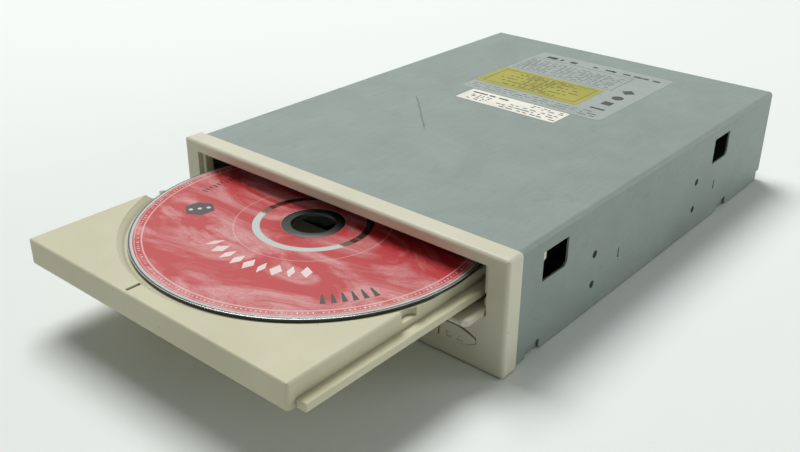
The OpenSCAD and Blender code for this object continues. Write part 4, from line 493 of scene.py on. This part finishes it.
# Disc: 120 mm of moulded polycarbonate, 1.2 mm thick, silvered on its upper side, with ink
# screen-printed over the silver. A band round the hub is left bare as a mirror, the hub is
# clear, and a narrow rim at the edge has no silver. The clear hub and the outer wall are drawn
# dark, as painted shade from the gap beneath them, and the bare rim is drawn pale, partly
# as a painted highlight.

# the hub's line, which stands at x = 0, and the disc's printed face
disc_y = -100.325 * MM
disc_top = 32.4 * MM


def from_hub(tree, place):
    """Each point's place on the disc, level with the hub, and its distance from the hub."""
    here = put(tree, "ShaderNodeMapping", {"Vector": place, "Location": (0, disc_y, 0)},
               vector_type="TEXTURE")
    level = put(tree, "ShaderNodeVectorMath", {0: here, 1: (1, 1, 0)}, operation="MULTIPLY")
    reach = put(tree, "ShaderNodeVectorMath", {0: level}, operation="LENGTH").outputs["Value"]
    return level, reach


def ink_print():
    """Gloss screen ink in red, with pale drifting clouds, fine contour lines and thin rings."""
    finish, tree, shader, place = new_finish("red_screen_ink_over_silver")
    level, reach = from_hub(tree, place)
    # clouds 20 to 40 mm long that drift across the disc
    drift = put(tree, "ShaderNodeMapping", {"Vector": level, "Rotation": (0, 0, 0.6), "Scale": (24, 46, 24)})
    cloud = put(tree, "ShaderNodeTexNoise", {"Vector": drift, "Scale": 1.0, "Detail": 6.0,
                                             "Roughness": 0.58, "Distortion": 1.9})
    pale = put(tree, "ShaderNodeMapRange", {"Value": cloud, "From Min": 0.44, "From Max": 0.63})
    # contour lines 1.5 mm apart within the clouds
    ripple = put(tree, "ShaderNodeMath", {0: cloud, 1: 160.0}, operation="MULTIPLY")
    ripple = put(tree, "ShaderNodeMath", {0: ripple}, operation="SINE")
    ripple = put(tree, "ShaderNodeMapRange", {"Value": ripple, "To Max": 0.3})
    ripple = put(tree, "ShaderNodeMath", {0: ripple, 1: pale}, operation="MULTIPLY")
    mist = put(tree, "ShaderNodeMath", {0: pale, 1: 0.72}, operation="MULTIPLY")
    mist = put(tree, "ShaderNodeMath", {0: mist, 1: ripple}, operation="SUBTRACT", use_clamp=True)
    tone = put(tree, "ShaderNodeMix", {0: mist, 6: linear("#bb2a30"), 7: linear("#dcaba9")},
               data_type="RGBA").outputs[2]
    # a ring is at its full strength within the first share of its half width, and gone past the second
    full_share, gone_share = 0.6, 1.6
    # thin pale rings, two near the rim and one round the hub: radius and half width in mm, strength
    for radius, half_width, strength in ((55.6, 0.22, 0.55), (57.9, 0.16, 0.4), (26.5, 0.18, 0.3)):
        away = put(tree, "ShaderNodeMath", {0: reach, 1: radius * MM}, operation="SUBTRACT")
        away = put(tree, "ShaderNodeMath", {0: away}, operation="ABSOLUTE")
        line = put(tree, "ShaderNodeMapRange", {"Value": away, "From Min": half_width * MM * full_share,
                                                "From Max": half_width * MM * gone_share,
                                                "To Min": strength, "To Max": 0.0})
        tone = put(tree, "ShaderNodeMix", {0: line, 6: tone, 7: linear("#f0dcd8")},
                   data_type="RGBA").outputs[2]
    # the screen's mesh leaves the ink slightly uneven, 0.25 mm
    weave = put(tree, "ShaderNodeTexNoise", {"Vector": place, "Scale": 4000.0, "Detail": 1.0})
    bump = put(tree, "ShaderNodeBump", {"Height": weave, "Strength": 0.06, "Distance": 0.02 * MM})
    join(tree, shader, {"Base Color": tone, "Roughness": 0.42, "Normal": bump, "Coat Weight": 0.12,
                        "Coat Roughness": 0.12})
    return finish


def silvering(name, tone, roughness):
    """Sputtered aluminium seen through the polycarbonate: a mirror with fine circular tracks."""
    finish, tree, shader, place = new_finish(name)
    _, reach = from_hub(tree, place)
    # tracks are drawn 0.6 mm apart, far coarser than the real 1.6 micrometres
    track = put(tree, "ShaderNodeMath", {0: reach, 1: 10000.0}, operation="MULTIPLY")
    track = put(tree, "ShaderNodeMath", {0: track}, operation="SINE")
    shade = put(tree, "ShaderNodeMapRange", {"Value": track, "From Min": -1.0, "To Min": 0.96,
                                             "To Max": 1.02})
    tinted = put(tree, "ShaderNodeVectorMath", {0: linear(tone)[:3], 3: shade}, operation="SCALE")
    join(tree, shader, {"Base Color": tinted, "Metallic": 1.0, "Roughness": roughness, "Coat Weight": 1.0,
                        "Coat Roughness": 0.02})
    return finish


def polycarbonate(name, scale, base, patch, transmission, roughness):
    """Clear polycarbonate, moulded in a polished tool: faintly clouded, so its edges read as solid."""
    finish, tree, shader, place = new_finish(name)
    haze = put(tree, "ShaderNodeTexNoise", {"Vector": place, "Scale": scale, "Detail": 2.0})
    tone = put(tree, "ShaderNodeMix", {0: haze, 6: linear(base), 7: linear(patch)},
               data_type="RGBA").outputs[2]
    join(tree, shader, {"Base Color": tone, "Transmission Weight": transmission, "IOR": 1.585,
                        "Roughness": roughness})
    return finish


red_ink = ink_print()
mirror = silvering("aluminium_sputtered_mirror_band", "#d9dcd9", 0.08)
tracks = silvering("aluminium_sputtered_data_side", "#cfd2d0", 0.16)
clear = polycarbonate("clear_polycarbonate_injection_moulded", 300.0, "#cfd3d1", "#bcc1bf", 0.85, 0.04)
# dark finish for clear plastic: painted shade of the dark gap seen through it
dark_painted_shade = printed_film("clear_polycarbonate_painted_dark_shade", "#1d2321", "#252b29", 0.0, 0.3, 0.0)
# pale, opaque finish for the bare rim: partly its own look, partly a painted highlight of the clear edge
pale_rim_and_painted_highlight = printed_film("clear_polycarbonate_unsilvered_rim_painted_highlight", "#c9ccc6", "#bcc0ba", 0.2, 0.2, 0.8)

# the disc's section: radius and height of each corner in mm, and the finish of the band after it
section = [
    # the hole's wall, the hub's top and the outer wall are dark: painted shade of the gap under the clear
    # plastic
    (7.5, 31.3, dark_painted_shade), (7.5, 32.3, dark_painted_shade), (7.6, 32.4, dark_painted_shade), (10.4, 32.4, dark_painted_shade), (10.5, 32.36, dark_painted_shade),
    (10.75, 32.36, pale_rim_and_painted_highlight), (10.85, 32.4, red_ink), (17.8, 32.4, mirror), (20.3, 32.4, red_ink),
    # pale bands at 58.5 and 59.85 mm, and at 10.75 mm by the hub: partly the bare rim's own look, partly a
    # painted highlight
    (58.5, 32.4, pale_rim_and_painted_highlight), (59.3, 32.4, clear), (59.85, 32.4, pale_rim_and_painted_highlight), (60.0, 32.3, dark_painted_shade), (60.0, 31.3, dark_painted_shade),
    (59.9, 31.2, clear), (58.6, 31.2, tracks), (22.0, 31.2, mirror), (17.5, 31.2, clear),
    (17.5, 31.05, clear), (17.0, 31.05, clear), (17.0, 31.2, clear), (7.6, 31.2, clear),
]


def turned(name, corners, steps):
    """A ring turned about the hub's line, with a finish for each band of its section."""
    finishes = list(dict.fromkeys(finish for _, _, finish in corners))
    count = len(corners)
    points, faces, bands = [], [], []
    for k in range(steps):
        angle = 2 * math.pi * k / steps
        points += [(r * MM * math.cos(angle), disc_y + r * MM * math.sin(angle), z * MM)
                   for r, z, _ in corners]
        this, after = k * count, (k + 1) % steps * count
        for i, (_, _, finish) in enumerate(corners):
            j = (i + 1) % count
            faces.append((this + i, this + j, after + j, after + i))
            bands.append(finishes.index(finish))
    mesh = bpy.data.meshes.new(name)
    mesh.from_pydata(points, [], faces)
    for finish in finishes:
        mesh.materials.append(finish)
    mesh.polygons.foreach_set("material_index", bands)
    shape = bmesh.new()
    shape.from_mesh(mesh)
    bmesh.ops.recalc_face_normals(shape, faces=shape.faces)
    shape.to_mesh(mesh)
    shape.free()
    mesh.shade_smooth()
    mesh.set_sharp_from_angle(angle=math.radians(35))
    return new_object(name, mesh)


disc = turned("printed_disc", section, 192)
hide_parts("disc")
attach(disc, "disc")

# a ring of fine pale ticks near the rim, printed in white over the red
ticks, given = new_tree("ring_of_ticks", {
    "Place": ("NodeSocketVector", (0, 0, 0)), "Radius": ("NodeSocketFloat", 0.0568),
    "Count": ("NodeSocketInt", 240), "Tick Length": ("NodeSocketFloat", 0.0009),
    "Tick Width": ("NodeSocketFloat", 0.0003), "Ink": ("NodeSocketFloat", 0.00003),
    "Share Left Out": ("NodeSocketFloat", 0.2), "Seed": ("NodeSocketInt", 5),
    "Finish": ("NodeSocketMaterial", None)})
ring = put(ticks, "GeometryNodeCurvePrimitiveCircle", {"Resolution": given["Count"],
                                                       "Radius": given["Radius"]})
points = put(ticks, "GeometryNodeCurveToPoints", {"Curve": ring}, mode="EVALUATED").outputs["Points"]
chance = put(ticks, "FunctionNodeRandomValue", {"Probability": given["Share Left Out"],
                                                "Seed": given["Seed"]}, data_type="BOOLEAN").outputs[3]
kept = put(ticks, "GeometryNodeDeleteGeometry", {"Geometry": points, "Selection": chance})
tick = put(ticks, "ShaderNodeCombineXYZ", {0: given["Tick Length"], 1: given["Tick Width"], 2: given["Ink"]})
tick = put(ticks, "GeometryNodeMeshCube", {"Size": tick})
facing = put(ticks, "FunctionNodeAlignRotationToVector", {"Vector": put(ticks, "GeometryNodeInputPosition")},
             axis="X")
size = put(ticks, "FunctionNodeRandomValue",
           {0: (0.5, 0.6, 1.0), 1: (1.0, 1.6, 1.0), "Seed": given["Seed"]}, data_type="FLOAT_VECTOR")
laid = put(ticks, "GeometryNodeInstanceOnPoints", {"Points": kept, "Instance": tick, "Rotation": facing,
                                                   "Scale": size})
close_tree(ticks, given, laid)
pale_ink = printed_film("pale_screen_ink", "#ecd9d5", "#e2c8c4", 0.0, 0.45, 0.2)
dark_ink = printed_film("dark_screen_ink", "#2a2224", "#352b2d", 0.0, 0.4, 0.25)
made_by(ticks, "disc_ticks", pale_ink, "disc",
        {"Place": (0, disc_y, disc_top + ink_middle * MM)})


def disc_mark(name, radius, angle, corners, ink, low=0.0):
    """A printed shape, drawn in mm round its own middle, with x pointing away from the hub."""
    spin = Matrix.Rotation(math.radians(angle), 2)
    placed = [spin @ Vector((radius + x, y)) for x, y in corners]
    film(name, placed, [0.15] * len(placed), low, low + ink_height, ink, origin=(0, disc_y, disc_top),
         body="disc")


# a dark hexagon with three pale dots in it
disc_mark("hexagon", 41, 206, round_shape(5.4, 6), dark_ink)
for k in range(3):
    dot = [(x + 2.6 * (k - 1), y + 1.5 * (k - 1)) for x, y in round_shape(0.75, 12)]
    disc_mark("hexagon_dot_%d" % (k + 1), 41, 206, dot, pale_ink, ink_height)
# a fan of pale lozenges that swell and shrink, a comb of dark wedges and a row of short strokes
for k in range(9):
    half = 1.2 + 0.9 * math.sin(k * 1.3) ** 2
    lozenge = [(-3.4, 0), (0, -half), (3.4, 0), (0, half)]
    disc_mark("lozenge_%d" % (k + 1), 33.5, 246 + 8.2 * k, lozenge, pale_ink)
for k in range(6):
    wedge = [(-2.6, -0.25), (2.6, -0.9), (2.6, 0.9), (-2.6, 0.25)]
    disc_mark("wedge_%d" % (k + 1), 49.5, 318 + 3.6 * k, wedge, dark_ink)
for k in range(12):
    inner = -0.8 - 0.5 * (k % 3)
    stroke = [(inner, -0.32), (0.8, -0.32), (0.8, 0.32), (inner, 0.32)]
    disc_mark("stroke_%d" % (k + 1), 48, 166 + 2.1 * k, stroke, dark_ink)


# Loader: the large moulding of black glass-filled ABS that guides the tray, and what drives it:
# a small motor in a steel can, a rubber belt, gears and a cam of white acetal that runs dry.
# the dark tones given for dirt below also paint shade into gaps and inner corners
loader_abs = moulded("black_glass_filled_abs_injection_moulded", "#1b1b1c", "#222223", "#2e2e2f",
                     grain_mm=0.3, roughness=0.5, bump_depth=0.35, dirt_and_shade_tone="#101010")
dress(loader_abs, "loader_frame", "lift_frame", "turntable", "clamper", "headphone_jack",
      "button_switches", "volume_control", "board_chips", "data_connector", "jumper_block")
acetal = moulded("white_acetal_injection_moulded", "#e4e2d8", "#dcdacf", "#efede6", grain_mm=0.5,
                 roughness=0.35, bump_depth=0.08)
dress(acetal, "motor_pulley", "pulley_gear", "tray_gear", "cam_slider", "sled_gear",
      "power_connector", "audio_connector")
motor_steel = bright_metal("nickel_plated_steel_deep_drawn", "#b4b6b3", (300, 300, 2500), 0.3)
dress(motor_steel, "loading_motor", "sled_motor", "spindle_motor")
# its dirt tone also paints shade into gaps and inner corners
rubber = moulded("black_nitrile_rubber_moulded", "#1d1d1e", "#242425", "#3a3a3b", grain_mm=0.25,
                 roughness=0.75, bump_depth=0.5, dirt_and_shade_tone="#0e0e0e")
dress(rubber, "drive_belt", "rubber_dampers")


# Pickup unit: a plate of bright sheet that hangs on four rubber dampers, ground steel rods, and
# a die-cast pickup with a coated glass lens, moved by a brass pinion and an acetal gear.
plate_steel = bright_metal("bright_steel_sheet_punched", "#b0b3b0", (1800, 120, 1800), 0.38)
dress(plate_steel, "mechanism_plate")
rod_steel = bright_metal("stainless_steel_centreless_ground", "#c4c6c5", (4000, 300, 4000), 0.16)
dress(rod_steel, "guide_rods")
# its dirt tone also paints shade into gaps and inner corners
cast = moulded("zinc_alloy_die_cast", "#77797a", "#6a6c6d", "#96989a", grain_mm=0.4, roughness=0.45,
               bump_depth=0.4, dirt_and_shade_tone="#2c2c2c", metallic=1.0)
dress(cast, "pickup_sled")
brass = bright_metal("brass_hobbed", "#c9a968", (1500, 1500, 3000), 0.28)
dress(brass, "sled_pinion")
lens_glass, tree, shader, _ = new_finish("coated_optical_glass_pressed")
# the coating's blue-violet bloom is a painted reflection: its colour follows the angle of view and deepens
# towards the rim
painted_reflection_bloom = put(tree, "ShaderNodeLayerWeight", {"Blend": 0.4}).outputs["Facing"]
tint = put(tree, "ShaderNodeMix", {0: painted_reflection_bloom, 6: linear("#5f7fb8"), 7: linear("#8a6cb0")}, data_type="RGBA")
join(tree, shader, {"Base Color": tint.outputs[2], "Transmission Weight": 0.35, "IOR": 1.52,
                    "Roughness": 0.03})
dress(lens_glass, "objective_lens")


# Indicator: a small light pipe of clear amber polycarbonate, moulded and polished, with a faint
# cloudiness of 1.4 mm in the resin.
amber = polycarbonate("amber_polycarbonate_moulded", 700.0, "#b98f35", "#a77f2c", 0.4, 0.12)
dress(amber, "indicator_lens")


# Boards: glass-epoxy with copper tracks under green solder resist. The tracks stand proud by a
# few hundredths of a millimetre and read as slightly lighter lines. Pins are gilt brass, and the
# chips stand on bent legs of tinned copper alloy.
resist, tree, shader, place = new_finish("green_solder_resist_on_glass_epoxy")
# tracks 0.8 mm apart with short cross links every 6.5 mm, like the mortar of a brick wall
black, white = (0, 0, 0, 1), (1, 1, 1, 1)
wall = put(tree, "ShaderNodeTexBrick", {
    "Vector": place, "Scale": 1.0, "Mortar Size": 0.2 * MM, "Mortar Smooth": 0.2, "Brick Width": 6.5 * MM,
    "Row Height": 0.8 * MM, "Color1": black, "Color2": black, "Mortar": white}, offset=0.37)
line = put(tree, "ShaderNodeRGBToBW", {0: wall.outputs["Color"]})
tone = put(tree, "ShaderNodeMix", {0: line, 6: linear("#1c5a37"), 7: linear("#2f7a4c")}, data_type="RGBA")
raised = put(tree, "ShaderNodeBump", {"Height": line, "Strength": 0.4, "Distance": 0.04 * MM})
join(tree, shader, {"Base Color": tone.outputs[2], "Roughness": 0.3, "Coat Weight": 0.4, "Normal": raised})
dress(resist, "main_board", "front_board")
gilt = bright_metal("gilt_brass_drawn", "#d8bd77", (3000, 200, 3000), 0.22)
dress(gilt, "connector_pins")

# a row of legs along two sides of each chip
legs, given = new_tree("chip_legs", {
    "Place": ("NodeSocketVector", (0, 0, 0)), "Chip Width": ("NodeSocketFloat", 0.02),
    "Chip Depth": ("NodeSocketFloat", 0.02), "Legs": ("NodeSocketInt", 14),
    "Leg Width": ("NodeSocketFloat", 0.0004), "Leg Reach": ("NodeSocketFloat", 0.0014),
    "Leg Thickness": ("NodeSocketFloat", 0.00018), "Leg Height": ("NodeSocketFloat", 0.0009),
    "Finish": ("NodeSocketMaterial", None)})
# the share of the chip's side that its row of legs takes up
row_share = 0.88
both = put(legs, "GeometryNodeJoinGeometry")
for side in (1, -1):
    out_x = put(legs, "ShaderNodeMath", {0: given["Chip Width"], 1: 0.5 * side}, operation="MULTIPLY")
    ends = []
    for way in (-1, 1):
        run = put(legs, "ShaderNodeMath", {0: given["Chip Depth"], 1: way * row_share / 2},
                  operation="MULTIPLY")
        ends.append(put(legs, "ShaderNodeCombineXYZ", {0: out_x, 1: run}))
    row = put(legs, "GeometryNodeMeshLine", {"Count": given["Legs"], "Start Location": ends[0],
                                             "Offset": ends[1]}, mode="END_POINTS")
    # the foot lies on the board and the shoulder runs down from the chip's side
    leg = put(legs, "GeometryNodeJoinGeometry")
    for long, tall, outward in (("Leg Reach", "Leg Thickness", 0.5), ("Leg Thickness", "Leg Height", 0.3)):
        box = put(legs, "ShaderNodeCombineXYZ", {0: given[long], 1: given["Leg Width"], 2: given[tall]})
        box = put(legs, "GeometryNodeMeshCube", {"Size": box})
        x = put(legs, "ShaderNodeMath", {0: given["Leg Reach"], 1: outward * side}, operation="MULTIPLY")
        z = put(legs, "ShaderNodeMath", {0: given[tall], 1: 0.5}, operation="MULTIPLY")
        spot = put(legs, "ShaderNodeCombineXYZ", {0: x, 2: z})
        box = put(legs, "GeometryNodeTransform", {"Geometry": box, "Translation": spot})
        join(legs, leg, {0: box})
    join(legs, both, {0: put(legs, "GeometryNodeInstanceOnPoints", {"Points": row, "Instance": leg})})
close_tree(legs, given, both)
tin = bright_metal("tinned_copper_alloy_stamped", "#b8bab8", (2000, 2000, 2000), 0.3)
board_top = 5.6 * MM
leg_pitch = 1.27
# each chip's middle, across and from the case's front, and its two sides, in mm
chips = [(-30, 62, 24, 24), (20, 70, 20, 20), (-10, 110, 14, 28), (34, 112, 18, 10),
         (-38, 120, 12, 20), (36, 150, 14, 14), (-20, 156, 10, 10)]
for number, (x, y, width, depth) in enumerate(chips, 1):
    made_by(legs, "chip_legs_%d" % number, tin, "case", {
        "Place": (x * MM, front_y + y * MM, board_top), "Chip Width": width * MM, "Chip Depth": depth * MM,
        "Legs": int(depth * row_share / leg_pitch) + 1})


# Floor: a sheet of matt white card, with the drive standing on it. It stays part of the stage.
# Far beyond the drive it fades into the backdrop, as a sweep of paper does in a photographer's tent.
scene = bpy.context.scene
backdrop_tone, backdrop_strength = linear("#eef5f1"), 0.9


def shown_rays(tree):
    """1 for the rays that see the backdrop itself, straight or in glossy and clear surfaces."""
    seen = put(tree, "ShaderNodeLightPath").outputs
    shown = put(tree, "ShaderNodeMath", {0: seen["Is Camera Ray"], 1: seen["Is Glossy Ray"]}, operation="ADD",
                use_clamp=True)
    return put(tree, "ShaderNodeMath", {0: shown, 1: seen["Is Transmission Ray"]}, operation="ADD",
               use_clamp=True)


card, tree, shader, place = new_finish("white_card_matt")
fibre = put(tree, "ShaderNodeTexNoise", {"Vector": place, "Scale": 900.0, "Detail": 2.0})
tone = put(tree, "ShaderNodeMix", {0: fibre, 6: linear("#f1f6f3"), 7: linear("#eef3f0")}, data_type="RGBA")
join(tree, shader, {"Base Color": tone.outputs[2], "Roughness": 0.85, "Specular IOR Level": 0.2})
# the fade starts 0.6 m from the drive's middle and is full at 1.4 m, both outside the photograph's frame
away = put(tree, "ShaderNodeVectorMath", {0: place}, operation="LENGTH").outputs["Value"]
fade = put(tree, "ShaderNodeMapRange", {"Value": away, "From Min": 0.6, "From Max": 1.4})
fade = put(tree, "ShaderNodeMath", {0: fade, 1: shown_rays(tree)}, operation="MULTIPLY")
sweep = put(tree, "ShaderNodeEmission", {"Color": backdrop_tone, "Strength": backdrop_strength})
faded = put(tree, "ShaderNodeMixShader", {0: fade, 1: shader, 2: sweep})
join(tree, tree.nodes["Material Output"], {"Surface": faded})
half_side = 4
mesh = bpy.data.meshes.new("floor")
mesh.from_pydata([(x * half_side, y * half_side, 0) for x, y in ((-1, -1), (1, -1), (1, 1), (-1, 1))], [],
                 [(0, 1, 2, 3)])
mesh.materials.append(card)
floor = new_object("floor", mesh)


# Light: a large soft lamp above and behind on the left, a weak low one on the right that stands
# for the bounce of a white wall, and an even pale surround.
world = bpy.data.worlds.new("studio")
scene.world = world
world.use_nodes = True
tree = world.node_tree
tree.nodes.clear()
around = put(tree, "ShaderNodeBackground", {"Color": linear("#fbfdfc"), "Strength": 0.19})
backdrop = put(tree, "ShaderNodeBackground", {"Color": backdrop_tone, "Strength": backdrop_strength})
both = put(tree, "ShaderNodeMixShader", {0: shown_rays(tree), 1: around, 2: backdrop})
put(tree, "ShaderNodeOutputWorld", {"Surface": both})

# name, power in watts, the two sides and the place of each lamp in metres; both point at the drive
aim = Vector((0, -0.03, 0))
for name, power, sides, spot in (("key", 40.5, (1.2, 1.0), Vector((-0.85, 0.3, 2.0))),
                                 ("fill", 6.2, (0.9, 0.5), Vector((1.1, 0.9, 0.32)))):
    lamp = bpy.data.lights.new(name, "AREA")
    lamp.shape = "RECTANGLE"
    lamp.size, lamp.size_y = sides
    lamp.energy = power
    stand = new_object(name, lamp)
    stand.location = spot
    stand.rotation_euler = (aim - spot).to_track_quat("-Z", "Y").to_euler()


# Camera: its place, its turn and its lens come from a fit to the photograph. The turn is given by
# the directions that point right, up and back from it.
lens = bpy.data.cameras.new("camera")
lens.sensor_width = 36.0
lens.lens = 42.906
lens.shift_x, lens.shift_y = -0.0086, -0.0028
lens.clip_start = 0.01
lens.dof.use_dof = False
camera = new_object("camera", lens)
spot = (0.20563, -0.299085, 0.17489)
right, up, back = (0.7655, 0.6433, 0.0114), (-0.296, 0.3364, 0.894), (0.5713, -0.6878, 0.4479)
camera.matrix_world = Matrix.Translation(spot) @ Matrix((right, up, back)).transposed().to_4x4()
scene.camera = camera
scene.view_settings.view_transform = "Standard"
